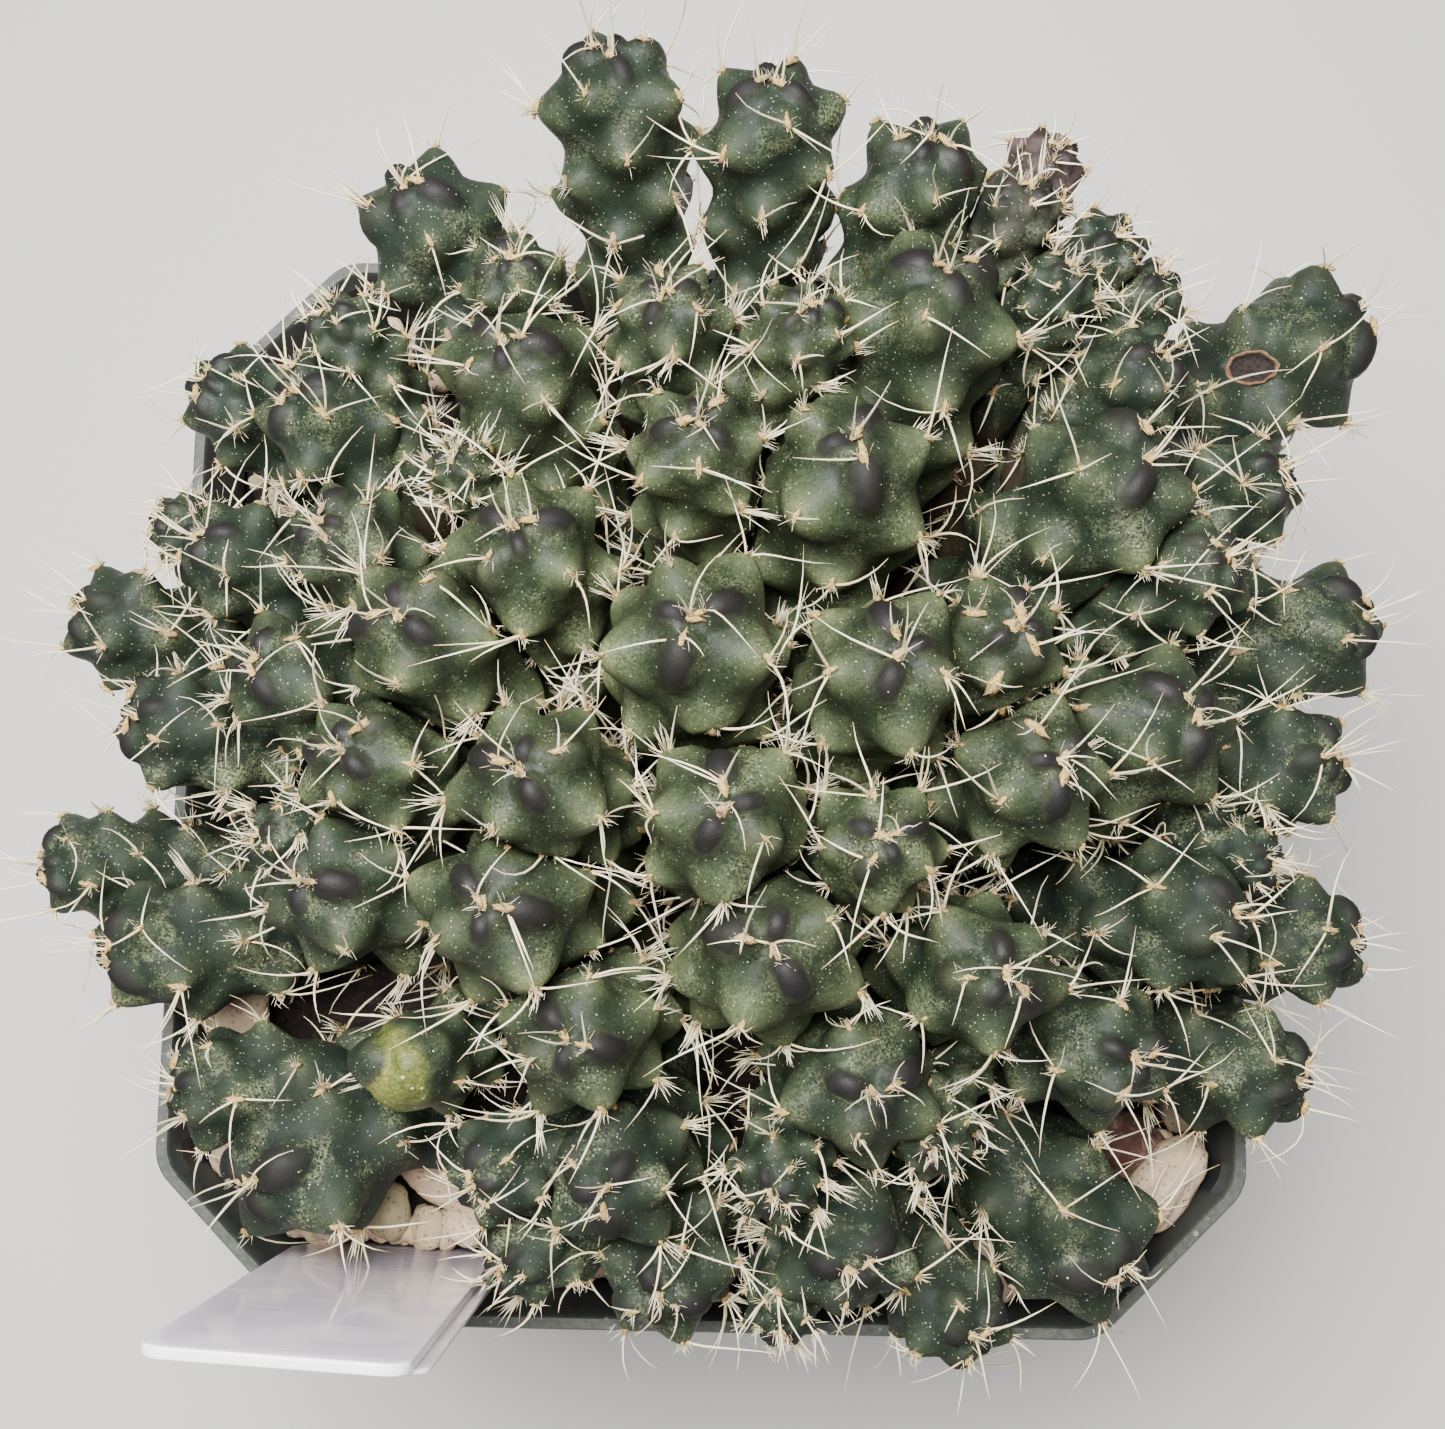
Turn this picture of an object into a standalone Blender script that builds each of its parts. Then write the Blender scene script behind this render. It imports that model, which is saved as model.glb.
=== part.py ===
# A clump of Maihueniopsis subterranea in its square plastic pot, at true size in metres.
# The origin is the middle of the pot's base, +Z is up and the pot's front side faces -Y.

import math
import random

import bmesh
import bpy
import numpy as np
from mathutils import Vector
from mathutils.bvhtree import BVHTree
from mathutils.geometry import delaunay_2d_cdt

mm = 0.001
seed = 11
clearance = 0.3 * mm              # left between pieces that touch

# pot
pot_width = 110 * mm              # across the rim, outside
pot_base_width = 84 * mm
pot_height = 95 * mm
pot_corner_cut = 15 * mm          # each corner is cut back this far along both sides
pot_corner_radius = 5 * mm
pot_wall = 1.2 * mm
pot_floor = 1.6 * mm
rim_band_height = 9 * mm
rim_band_step = 1.0 * mm          # the band stands out this far from the wall
rim_top_width = 1.5 * mm
rim_edge = 0.4 * mm               # the band's edges are rounded off by this much
drain_hole_radius = 4 * mm
drain_hole_reach = 26 * mm        # from the middle of the base, along both axes
drain_hole_sides = 12

# ground
soil_drop = 10.5 * mm             # soil surface below the rim
soil_relief = 1.1 * mm
soil_grid = 12 * mm
socket_depth = 3.0 * mm
socket_gap = 0.8 * mm             # round a stem in its hole in the soil
gravel_band = 8.0 * mm            # width of the ring of pumice along the wall
gravel_bed = 1.8 * mm             # thickness of the bed that the pumice stones sit in
stone_size = (3.5 * mm, 5.5 * mm) # the small stones between the larger ones
stone_count = 23                  # with the larger ones

# plant
clump_center = (1 * mm, 9 * mm)   # middle of the dome of heads, in plan
soil_center = (1 * mm, 3 * mm)    # middle of the spots where the stems enter the soil
clump_radius = 76 * mm
edge_rise = 6 * mm                # head tips above the rim at the clump's edge
dome_rise = 40 * mm               # further rise to the middle of the dome
dome_power = 1.3                  # how early the dome falls away towards its edge
back_rise = 12 * mm               # the heads at the back stand this much higher
back_start, back_end = 25 * mm, 65 * mm
stem_spread = 0.64                # a stem's soil spot lies this share of the way out to its tip
socket_limit = 38.5 * mm          # no stem enters the soil further out than this
lean_center = (2 * mm, -30 * mm)  # heads over this spot stand upright
side_reach = 62 * mm              # a head this far to the side leans 45 degrees that way
side_power = 1.6
depth_reach = 230 * mm            # heads lean to the back or front by their distance over this
neck_radius = 2.3 * mm            # stem where it enters the soil
stem_sides = 6                    # sides of a stem below its tubercles
rise_share, bend_share = 0.55, 0.42   # how far a stem goes straight up, and straight to its tip
branch_share = 0.55               # a branch head leaves its stem this far down
core_share = 0.39                 # radius between the tubercles as a share of the head's width
waist_share = 0.20                # a stem is this much thinner at the waist below its head
waist_place, waist_reach = 1.5, 3 * mm    # head widths below the tip, and half the waist's height
neck_start, neck_end = 11 * mm, 4.5 * mm  # above the root
lobe_height_share = 0.165         # height of a tubercle as a share of the head's width
lobe_fade = (17 * mm, 10 * mm)    # above the root the tubercles die away between these heights
model_width = 14 * mm             # the tubercle sizes below are those of a head this wide
young_area, grown_area = 10 * mm ** 2, 46 * mm ** 2
grown_reach = (1 * mm, 9 * mm)    # a tubercle grows between these distances from the tip
pack_gap = 0.08                   # gap between packed heads, as a share of their radius
pack_limit = 0.4                  # no point is drawn in beyond this share
rim_lift = 0.7 * mm               # the outer heads lie over the rim at this height
rim_margin = 5 * mm
golden_angle = math.pi * (3 - math.sqrt(5))

# spines
spine_length = (8 * mm, 13 * mm)
spine_radius = 0.27 * mm
spines_each = 4
spine_root = 1.5 * mm             # how deep a spine's root is sunk in its tubercle
spine_clear = 0.4 * mm            # kept free round a spine beside other pieces

# plant tag
tag_width = 20.5 * mm
tag_thickness = 1.5 * mm
tag_top = 147 * mm
tag_tip = 76 * mm                 # height of its narrow lower end
tag_tip_width = 4 * mm
tag_place = (-31 * mm, -48.9 * mm)
tag_shoulder = 93 * mm            # below this height it narrows to its lower end
tag_corner_radius = 2.2 * mm
tag_turn = math.radians(-3)

# Every stem with its heads: the growing tip's place in plan and the width over the tubercles,
# in mm. The first head of a stem is its own end, and the others branch from it.
stems = {
    "back_left_tall": [(-10, 63, 13.5)],
    "back_middle_tall": [(5, 59, 13)],
    "back_right": [(19, 54, 13)],
    "back_withered": [(31, 56, 8.5), (28, 51, 9)],
    "back_corner": [(37, 48, 10), (32, 44, 8)],
    "right_upper_pair": [(41, 37, 11), (41, 45, 9)],
    "right_scarred": [(63, 46, 16)],
    "right_upper_edge": [(54, 29, 11.5)],
    "right_upper_broad": [(39, 27, 16)],
    "upper_broad": [(20, 41, 16)],
    "middle_highest": [(12, 25, 15.5)],
    "upper_middle_pair": [(-4, 38, 11), (8, 37, 9.5)],
    "back_left_pair": [(-28, 50, 14), (-18, 42, 9.5)],
    "left_upper_pair": [(-38, 32, 13), (-35, 39, 9)],
    "left_upper_edge": [(-48, 35, 11)],
    "upper_left": [(-18, 34, 14)],
    "upper_middle": [(-1, 26, 12)],
    "left_inner_pair": [(-16, 17, 13.5), (-22, 24, 6.5)],
    "left_inner": [(-34, 19, 11)],
    "left_edge_pair": [(-47, 19, 12), (-52, 22, 7.5)],
    "left_edge_long": [(-61, 14, 12)],
    "left_middle": [(-40, 7, 12.5)],
    "left_center": [(-26, 10, 14.5)],
    "left_edge_low": [(-53, 3, 12)],
    "left_lower_pair": [(-31, -1, 12.5), (-39, -8, 8.5)],
    "center_left": [(-15, -3, 14)],
    "left_front_edge": [(-64, -10, 11)],
    "left_front_inner": [(-35, -12, 14.5)],
    "front_left_broad": [(-18, -14, 15.5)],
    "left_front_outer": [(-56, -18, 13.5)],
    "center": [(-1, 9, 15.5)],
    "center_right": [(16, 7, 14.5)],
    "woolly": [(26, 10, 11.5)],
    "center_front": [(2, -6, 14.5)],
    "center_front_right": [(15, -8, 11.5)],
    "right_inner": [(30, -1, 13.5)],
    "right_middle": [(43, 4, 15)],
    "right_middle_upper": [(47, 19, 11)],
    "right_edge_upper": [(63, 16, 14)],
    "right_edge_pair": [(59, 2, 13), (52, -8, 8)],
    "right_front_broad": [(48, -13, 14)],
    "right_edge_lower": [(62, -15, 13)],
    "front_right_inner": [(26, -19, 14)],
    "front_broad": [(6, -17, 16)],
    "front_left_inner": [(-11, -25, 14)],
    "front_left_damaged": [(-27, -28, 10.5)],
    "front_left_corner": [(-42, -39, 17), (-49, -31, 12)],
    "front_left_pair": [(-8, -38, 14), (-19, -38, 11)],
    "front_pair": [(15, -29, 14.5), (7, -38, 9)],
    "front_edge_pair": [(-3, -48, 13), (-17, -46, 10)],
    "front_right_pair": [(14, -45, 14), (8, -51, 8)],
    "front_edge_right": [(26, -52, 12)],
    "front_right_upper": [(39, -26, 13.5), (21, -34, 8)],
    "right_front_edge": [(57, -28, 13)],
    "front_right_corner": [(40, -45, 16.5)],
}

# Larger pumice stones that show between the heads: place in plan and size, in mm.
shown_stones = [
    (-40, -44, 7, 6, 5), (-31, -45, 6, 5, 4), (-25.5, -45.5, 4, 4, 4), (-20, -46.5, 6, 5, 4),
    (-49, -24, 6, 9, 5), (-49, -38, 5, 7, 4), (-46, -43, 5, 4, 4),
    (48, -40, 8, 11, 7), (34, -48, 9, 8, 5), (28, -46, 7, 6, 4), (49, -32, 5, 5, 4),
    (-10, -49, 6, 5, 4), (2, -49, 5, 5, 4), (14, -49, 6, 5, 4),
]


def clear_scene():
    for obj in list(bpy.data.objects):
        bpy.data.objects.remove(obj, do_unlink=True)


def make_material(name, color, roughness, alpha=1.0):
    material = bpy.data.materials.new(name)
    material.use_nodes = True
    shader = material.node_tree.nodes["Principled BSDF"]
    shader.inputs["Base Color"].default_value = (*color, 1.0)
    shader.inputs["Roughness"].default_value = roughness
    shader.inputs["Alpha"].default_value = alpha
    return material


def add_object(name, mesh_data, material=None):
    mesh = bpy.data.meshes.new(name)
    mesh_data.to_mesh(mesh)
    mesh_data.free()
    obj = bpy.data.objects.new(name, mesh)
    bpy.context.scene.collection.objects.link(obj)
    if material:
        mesh.materials.append(material)
    return obj


def smooth_step(value, start, end):
    share = np.clip((value - start) / (end - start), 0.0, 1.0)
    return share * share * (3 - 2 * share)


def boolean_with(obj, others, operation):
    """Joins or cuts obj with the other objects, applies it and removes them."""
    tools = bpy.data.collections.new("tools")
    for other in others:
        for user in list(other.users_collection):
            user.objects.unlink(other)
        tools.objects.link(other)
        other.hide_render = True
        other.display_type = "WIRE"
    modifier = obj.modifiers.new("shape", "BOOLEAN")
    modifier.operand_type = "COLLECTION"
    modifier.collection = tools
    modifier.operation = operation
    modifier.solver = "EXACT"
    graph = bpy.context.evaluated_depsgraph_get()
    joined = bpy.data.meshes.new_from_object(obj.evaluated_get(graph))
    obj.modifiers.remove(modifier)
    old = obj.data
    obj.data = joined
    bpy.data.meshes.remove(old)
    joined.name = obj.name
    for other in others:
        bpy.data.objects.remove(other, do_unlink=True)
    bpy.data.collections.remove(tools)


def fill_pockets(obj):
    """Removes the closed shells left inside where two heads of a stem meet."""
    mesh = bmesh.new()
    mesh.from_mesh(obj.data)
    mesh.faces.ensure_lookup_table()
    unseen, shells = set(mesh.faces), []
    while unseen:
        shell, front = [], [unseen.pop()]
        while front:
            face = front.pop()
            shell.append(face)
            for edge in face.edges:
                for other in edge.link_faces:
                    if other in unseen:
                        unseen.remove(other)
                        front.append(other)
        shells.append(shell)
    shells.sort(key=len)
    inner = [face for shell in shells[:-1] for face in shell]
    if inner:
        bmesh.ops.delete(mesh, geom=inner, context="FACES")
        mesh.to_mesh(obj.data)
    mesh.free()


def square_outline(width, z, radius=pot_corner_radius):
    """Points of a square with cut and rounded corners, anticlockwise, two to a corner."""
    half = width / 2
    cut = pot_corner_cut - (2 - math.sqrt(2)) * (pot_width - width) / 2
    corners = [(half, -half + cut), (half, half - cut), (half - cut, half), (-half + cut, half),
               (-half, half - cut), (-half, -half + cut), (-half + cut, -half), (half - cut, -half)]
    points = []
    for index, corner in enumerate(corners):
        here = Vector(corner)
        before = (Vector(corners[index - 1]) - here).normalized()
        after = (Vector(corners[(index + 1) % 8]) - here).normalized()
        reach = radius * math.tan(math.radians(22.5))
        start, end = here + before * reach, here + after * reach
        points += [Vector((*p, z)) for p in (start, end)]
    return points


def wall_width(z):
    """Outside width of the tapered wall at a height, below the rim band."""
    top = pot_width - 2 * rim_band_step
    return pot_base_width + (top - pot_base_width) * z / pot_height


def inner_width(z):
    return wall_width(z) - 2 * pot_wall


def bridged_solid(rings):
    """A closed mesh from rings of points with the first and last ring filled."""
    mesh = bmesh.new()
    loops = [[mesh.verts.new(p) for p in ring] for ring in rings]
    for lower, upper in zip(loops, loops[1:]):
        for index in range(len(lower)):
            after = (index + 1) % len(lower)
            mesh.faces.new((lower[index], lower[after], upper[after], upper[index]))
    mesh.faces.new(loops[0][::-1])
    mesh.faces.new(loops[-1])
    bmesh.ops.recalc_face_normals(mesh, faces=mesh.faces)
    return mesh


def make_pot(material):
    band_base = pot_height - rim_band_height
    rings = [
        square_outline(pot_base_width, 0),
        square_outline(wall_width(band_base), band_base),
        square_outline(pot_width - 2 * rim_edge, band_base + 0.5 * mm),
        square_outline(pot_width, pot_height - 1.5 * rim_edge),
        square_outline(pot_width - 2 * rim_edge, pot_height),
        square_outline(pot_width - 2 * rim_top_width, pot_height),
        square_outline(inner_width(pot_height) - 0.2 * mm, pot_height - 0.5 * mm),
        square_outline(inner_width(pot_floor), pot_floor),
    ]
    pot = add_object("pot", bridged_solid(rings), material)
    holes = []
    for x in (-drain_hole_reach, drain_hole_reach):
        for y in (-drain_hole_reach, drain_hole_reach):
            hole = bmesh.new()
            bmesh.ops.create_cone(hole, cap_ends=True, segments=drain_hole_sides,
                                  radius1=drain_hole_radius, radius2=drain_hole_radius,
                                  depth=4 * pot_floor)
            bmesh.ops.translate(hole, verts=hole.verts, vec=(x, y, 0))
            holes.append(add_object("drain_hole", hole))
    boolean_with(pot, holes, "DIFFERENCE")
    return pot


def dome_height(x, y):
    """Height of the head tips over a spot in plan."""
    out = math.hypot(x - clump_center[0], y - clump_center[1]) / clump_radius
    back = back_rise * smooth_step(y, back_start, back_end)
    return pot_height + edge_rise + dome_rise * max(0.0, 1 - out * out) ** dome_power + back


def soil_height(x, y):
    wave = math.sin(x * 420 + 1.3) * math.cos(y * 380 + 0.4) + 0.5 * math.sin(x * 910 - y * 760)
    return pot_height - soil_drop + soil_relief * wave / 1.5


def bezier(a, b, c, d, count):
    steps = np.linspace(0, 1, count)[:, None]
    return ((1 - steps) ** 3 * a + 3 * (1 - steps) ** 2 * steps * b
            + 3 * (1 - steps) * steps ** 2 * c + steps ** 3 * d)


def grow_axis(tip, root, width, twist):
    """A head's middle line from its tip down to its root, with side vectors that don't spin."""
    aside, behind = tip[0] - lean_center[0], tip[1] - lean_center[1]
    lean = math.copysign((abs(aside) / side_reach) ** side_power, aside)
    heading = np.array([lean, behind / depth_reach, 1.0])
    heading /= np.linalg.norm(heading)
    span = np.linalg.norm(tip - root)
    control_low = root + np.array([0, 0, rise_share * span])
    line = bezier(tip, tip - heading * bend_share * span, control_low, root, 41)
    along = np.concatenate([[0], np.cumsum(np.linalg.norm(np.diff(line, axis=0), axis=1))])
    down = np.gradient(line, along, axis=0)
    down /= np.linalg.norm(down, axis=1)[:, None]
    side = np.cross(down[0], [math.cos(twist), math.sin(twist), 0.2])
    sides = []
    for direction in down:
        side = side - direction * np.dot(side, direction)
        side = side / np.linalg.norm(side)
        sides.append(side)
    sides = np.array(sides)
    return {"line": line, "along": along, "down": down, "side": sides,
            "other": np.cross(down, sides), "length": along[-1], "width": width}


def along_axis(head, distance, key):
    values = head[key]
    return np.stack([np.interp(distance, head["along"], values[:, i]) for i in range(3)], axis=-1)


def core_radius(head, distance):
    """Radius without tubercles at a distance from the tip, past the round cap."""
    width, length = head["width"], head["length"]
    waist = 1 - waist_share * np.exp(-((distance - waist_place * width) / waist_reach) ** 2)
    lower = 1 - 0.05 * smooth_step(distance, 1.4 * width, 1.8 * width)
    body = core_share * width * waist * lower
    neck = smooth_step(distance, length - neck_start, length - neck_end)
    return body * (1 - neck) + head["neck"] * neck


def cap_radius(head):
    return core_share * head["width"]


def lobe_height(head, distance):
    fade = 1 - smooth_step(distance, head["length"] - lobe_fade[0], head["length"] - lobe_fade[1])
    return lobe_height_share * head["width"] * fade


def surface_place(head, reach, turn):
    """Axis distance, middle, outward direction and radius for a spot reach from the tip."""
    cap = cap_radius(head)
    quarter = cap * math.pi / 2
    angle = np.minimum(reach / cap, math.pi / 2)
    distance = np.where(reach < quarter, cap * (1 - np.cos(angle)), cap + reach - quarter)
    middle = along_axis(head, np.maximum(distance, cap), "line")
    down = along_axis(head, np.maximum(distance, cap), "down")
    side = along_axis(head, np.maximum(distance, cap), "side")
    other = along_axis(head, np.maximum(distance, cap), "other")
    ring = side * np.cos(turn)[:, None] + other * np.sin(turn)[:, None]
    outward = ring * np.sin(angle)[:, None] - down * np.cos(angle)[:, None]
    radius = np.where(reach < quarter, cap, core_radius(head, distance))
    return distance, middle, outward, radius, down


def tubercle_spots(head, last_reach):
    """Reach and turn of each tubercle in a golden-angle spiral, with its relative size."""
    cap = cap_radius(head)
    scale = (head["width"] / model_width) ** 2
    reach, filled, spots = 0.0, 0.0, []
    step = 0.05 * mm
    while reach < last_reach:
        area = scale * (young_area + (grown_area - young_area) * smooth_step(reach, *grown_reach))
        ring = 2 * math.pi * cap * math.sin(min(reach / cap, math.pi / 2))
        filled += ring * step / area
        reach += step
        if filled >= len(spots) + 0.6:
            spots.append((reach, len(spots) * golden_angle, (area / (grown_area * scale)) ** 0.6))
    return spots


def unrolled(head, reach, turn):
    """A flat map of the surface that keeps shapes, for joining the points into triangles."""
    cap = cap_radius(head)
    quarter = cap * math.pi / 2
    if reach < quarter:
        out = math.tan(reach / cap / 2)
    else:
        out = math.exp((reach - quarter) / cap)
    return Vector((out * math.cos(turn), out * math.sin(turn)))


def rolled_up(head, spot):
    cap = cap_radius(head)
    out = spot.length
    reach = 2 * math.atan(out) * cap if out < 1 else cap * (math.pi / 2 + math.log(out))
    return reach, math.atan2(spot.y, spot.x)


def place_points(head, points):
    """World places of (reach, turn, lift) points, and the middle that each one is pulled towards."""
    reach, turn, lift = (np.array(v, float) for v in zip(*points))
    distance, middle, outward, radius, down = surface_place(head, reach, turn)
    height = lobe_height(head, distance) * lift
    raised = outward - down * 0.35 * (lift > 0)[:, None]
    raised /= np.linalg.norm(raised, axis=1)[:, None]
    return middle + outward * radius[:, None] + raised * height[:, None], middle


def shape_head(head):
    """The triangles of one head: tubercle tips, the dips between them, then plain rings down."""
    cap = cap_radius(head)
    quarter = cap * math.pi / 2
    last = min(1.3 * head["width"], head["length"] - 12 * mm - cap + quarter)
    spots = tubercle_spots(head, last)
    points = [(0.001 * mm, 0.0, -0.15)] + [(r, t, size) for r, t, size in spots]
    ring_reach = last + 2.5 * mm
    turns = [2 * math.pi * i / stem_sides + 0.2 for i in range(stem_sides)]
    ring = [(ring_reach, turn, 0.1) for turn in turns]
    flat = [unrolled(head, r, t) for r, t, _ in points + ring]
    faces = delaunay_2d_cdt(flat, [], [], 0, 1e-7)[2]
    for face in faces:
        middle = sum((flat[i] for i in face), Vector((0, 0))) / 3
        if min((middle - other).length for other in flat) < 0.31 * middle.length:
            continue
        reach, turn = rolled_up(head, middle)
        if 2.2 * mm < reach < ring_reach - 1.5 * mm:
            points.append((reach, turn, -0.05))
            flat.append(middle)
    upper = len(points)
    flat = [unrolled(head, r, t) for r, t, _ in points + ring]
    faces = delaunay_2d_cdt(flat, [], [], 0, 1e-7)[2]
    start = ring_reach - quarter + cap
    end = head["length"]
    neck_top = end - socket_depth - 1.5 * mm
    rungs = max(1, round((neck_top - start) / (14 * mm)))
    levels = list(np.linspace(start, neck_top, rungs + 1)[1:]) + [end]
    points += ring
    for level in levels:
        points += [(level - cap + quarter, turn, 0.0) for turn in turns]
    places, middles = place_points(head, points)
    triangles = [tuple(face) for face in faces]
    for row in range(len(levels)):
        above = upper + stem_sides * row
        below = above + stem_sides
        for i in range(stem_sides):
            j = (i + 1) % stem_sides
            triangles += [(above + i, below + i, above + j), (above + j, below + i, below + j)]
    foot = upper + stem_sides * len(levels)
    triangles += [(foot, foot + i + 1, foot + i) for i in range(1, stem_sides - 1)]
    return {"places": places, "middles": middles, "faces": triangles,
            "tips": list(range(1, 1 + len(spots)))}


def outer_samples(head):
    """Points down a head's middle line with the radius over its tubercles there."""
    cap = cap_radius(head)
    distance = np.linspace(cap, head["length"], 26)
    radius = core_radius(head, distance) + 0.8 * lobe_height(head, distance)
    return along_axis(head, distance, "line"), radius


def closeness(places, samples):
    points, radius = samples
    gaps = np.linalg.norm(places[:, None, :] - points[None, :, :], axis=2)
    return (gaps / radius[None, :]).min(axis=1)


def pack_heads(heads):
    """Pulls each head in where it would press into a neighbour on another stem."""
    for head in heads:
        head["samples"] = outer_samples(head)
    for head in heads:
        shape = head["shape"]
        near = [other for other in heads if other["stem"] != head["stem"]
                and np.linalg.norm(other["line"][0] - head["line"][0]) < 34 * mm]
        share = np.ones(len(shape["places"]))
        arms = shape["places"] - shape["middles"]
        for _ in range(18):
            places = shape["middles"] + arms * share[:, None]
            own = closeness(places, head["samples"]) * (1 + pack_gap)
            beside = np.min([closeness(places, other["samples"]) for other in near], axis=0)
            pressed = (own > beside) & (share > pack_limit)
            if not pressed.any():
                break
            share[pressed] *= 0.95
        shape["places"] = shape["middles"] + arms * share[:, None]
        keep_off_rim(shape)


def outline_reach(x, y):
    """How far out a spot is, measured to the pot's sides and cut corners alike."""
    corner = (abs(x) + abs(y)) / (2 - 2 * pot_corner_cut / pot_width)
    return max(abs(x), abs(y), corner)


def keep_off_rim(shape):
    """Lifts what would press into the rim, so that the outer heads lie over it."""
    top = pot_height + rim_lift
    inside = pot_width / 2 - rim_margin
    for place in shape["places"]:
        slope = 2 * max(0.0, inside - outline_reach(place[0], place[1]))
        place[2] = max(place[2], top - slope)


def mesh_tree(places, faces):
    return BVHTree.FromPolygons([Vector(p) for p in places], faces)


def ease_apart(heads):
    """Draws in the corners of faces that still cross a neighbour, until none do."""
    for _ in range(30):
        trees = [mesh_tree(head["shape"]["places"], head["shape"]["faces"]) for head in heads]
        crossed = set()
        for a, first in enumerate(heads):
            for b in range(a + 1, len(heads)):
                second = heads[b]
                if first["stem"] == second["stem"]:
                    continue
                if np.linalg.norm(first["line"][0] - second["line"][0]) > 50 * mm:
                    continue
                for face_a, face_b in trees[a].overlap(trees[b]):
                    crossed |= {(a, corner) for corner in first["shape"]["faces"][face_a]}
                    crossed |= {(b, corner) for corner in second["shape"]["faces"][face_b]}
        if not crossed:
            return
        for index, corner in sorted(crossed):
            shape = heads[index]["shape"]
            arm = shape["places"][corner] - shape["middles"][corner]
            shape["places"][corner] = shape["middles"][corner] + arm * 0.93


def plan_heads():
    """The middle lines of every head, with branch heads rooted in their stem's first head."""
    draw = random.Random(seed)
    heads = []
    for stem, entries in stems.items():
        for index, (x, y, width) in enumerate(entries):
            x, y, width = x * mm, y * mm, width * mm
            tip = np.array([x, y, dome_height(x, y)])
            if index == 0:
                spot = [soil_center[i] + stem_spread * ((x, y)[i] - clump_center[i]) for i in range(2)]
                inward = min(1.0, socket_limit / outline_reach(*spot))
                spot = [inward * value for value in spot]
                root = np.array([*spot, pot_height - soil_drop - socket_depth + clearance])
            else:
                root = along_axis(first, branch_share * first["length"], "line")
            head = grow_axis(tip, root, width, draw.uniform(0, 2 * math.pi))
            head.update(stem=stem, neck=neck_radius if index == 0 else 0.2 * width, branch=index > 0)
            if index == 0:
                first = head
            heads.append(head)
    return heads


def spine_mesh(start, bend, tip, inward):
    """One three-sided spine from under the skin, through a bend, to its point."""
    mesh = bmesh.new()
    direction = (bend - start).normalized()
    side = direction.orthogonal().normalized()
    rows = []
    for place, radius in ((start - inward, spine_radius), (bend, spine_radius * 0.85)):
        row = []
        for i in range(3):
            angle = 2 * math.pi * i / 3
            across = side * math.cos(angle) + direction.cross(side) * math.sin(angle)
            row.append(mesh.verts.new(place + across * radius))
        rows.append(row)
    point = mesh.verts.new(tip)
    for i in range(3):
        j = (i + 1) % 3
        mesh.faces.new((rows[0][i], rows[0][j], rows[1][j], rows[1][i]))
        mesh.faces.new((rows[1][i], rows[1][j], point))
    mesh.faces.new(rows[0][::-1])
    bmesh.ops.recalc_face_normals(mesh, faces=mesh.faces)
    return mesh


def clear_probe(start, bend, tip, radius):
    """A small closed tube round a spine, to test whether it is free of other pieces."""
    corners, faces = [], []
    for place in (start, bend, tip):
        direction = (tip - start).normalized()
        side = direction.orthogonal().normalized()
        for i in range(4):
            angle = math.pi * i / 2
            across = side * math.cos(angle) + direction.cross(side) * math.sin(angle)
            corners.append(place + across * radius)
    for row in (0, 4):
        for i in range(4):
            j = (i + 1) % 4
            faces.append((row + i, row + j, row + 4 + j, row + 4 + i))
    faces += [(3, 2, 1, 0), (8, 9, 10, 11)]
    return BVHTree.FromPolygons(corners, faces)


def areole_place(shape, corner):
    """A spot just below a tubercle's tip, inside the face there that looks most upwards."""
    tip = Vector(shape["places"][corner])
    around = [face for face in shape["faces"] if corner in face]
    middles = [sum((Vector(shape["places"][i]) for i in face), Vector()) / 3 for face in around]
    return tip.lerp(max(middles, key=lambda middle: middle.z), 0.35)


def grow_spines(head, draw, obstacles):
    """Spines on tubercles spread over the head, each bent clear of other pieces or left out."""
    shape, grown = head["shape"], []
    tips = shape["tips"]
    wanted = spines_each if head["width"] > 10 * mm else 3
    offset = draw.randrange(3)
    order = [tips[(offset + round(i * len(tips) / wanted)) % len(tips)] for i in range(wanted)]
    for corner in order + tips[::-1]:
        if len(grown) >= wanted:
            break
        skin = areole_place(shape, corner)
        out = (skin - Vector(shape["middles"][corner])).normalized()
        for attempt in range(7):
            length = draw.uniform(*spine_length) * (1 - 0.09 * attempt)
            sway = Vector([draw.uniform(-1, 1) for _ in range(3)]) * (0.45 + 0.05 * attempt)
            first = (out + sway * 0.5 + Vector((0, 0, 0.06 * attempt))).normalized()
            second = (first + sway * 0.5).normalized()
            bend = skin + first * length * 0.45
            tip = bend + second * length * 0.55
            probe = clear_probe(skin, bend, tip, spine_clear)
            if any(probe.overlap(tree) for tree in obstacles):
                continue
            grown.append((spine_mesh(skin, bend, tip, out * spine_root), probe))
            break
    return grown


def object_tree(obj):
    return BVHTree.FromPolygons([v.co.copy() for v in obj.data.vertices],
                                [tuple(face.vertices) for face in obj.data.polygons])


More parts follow.
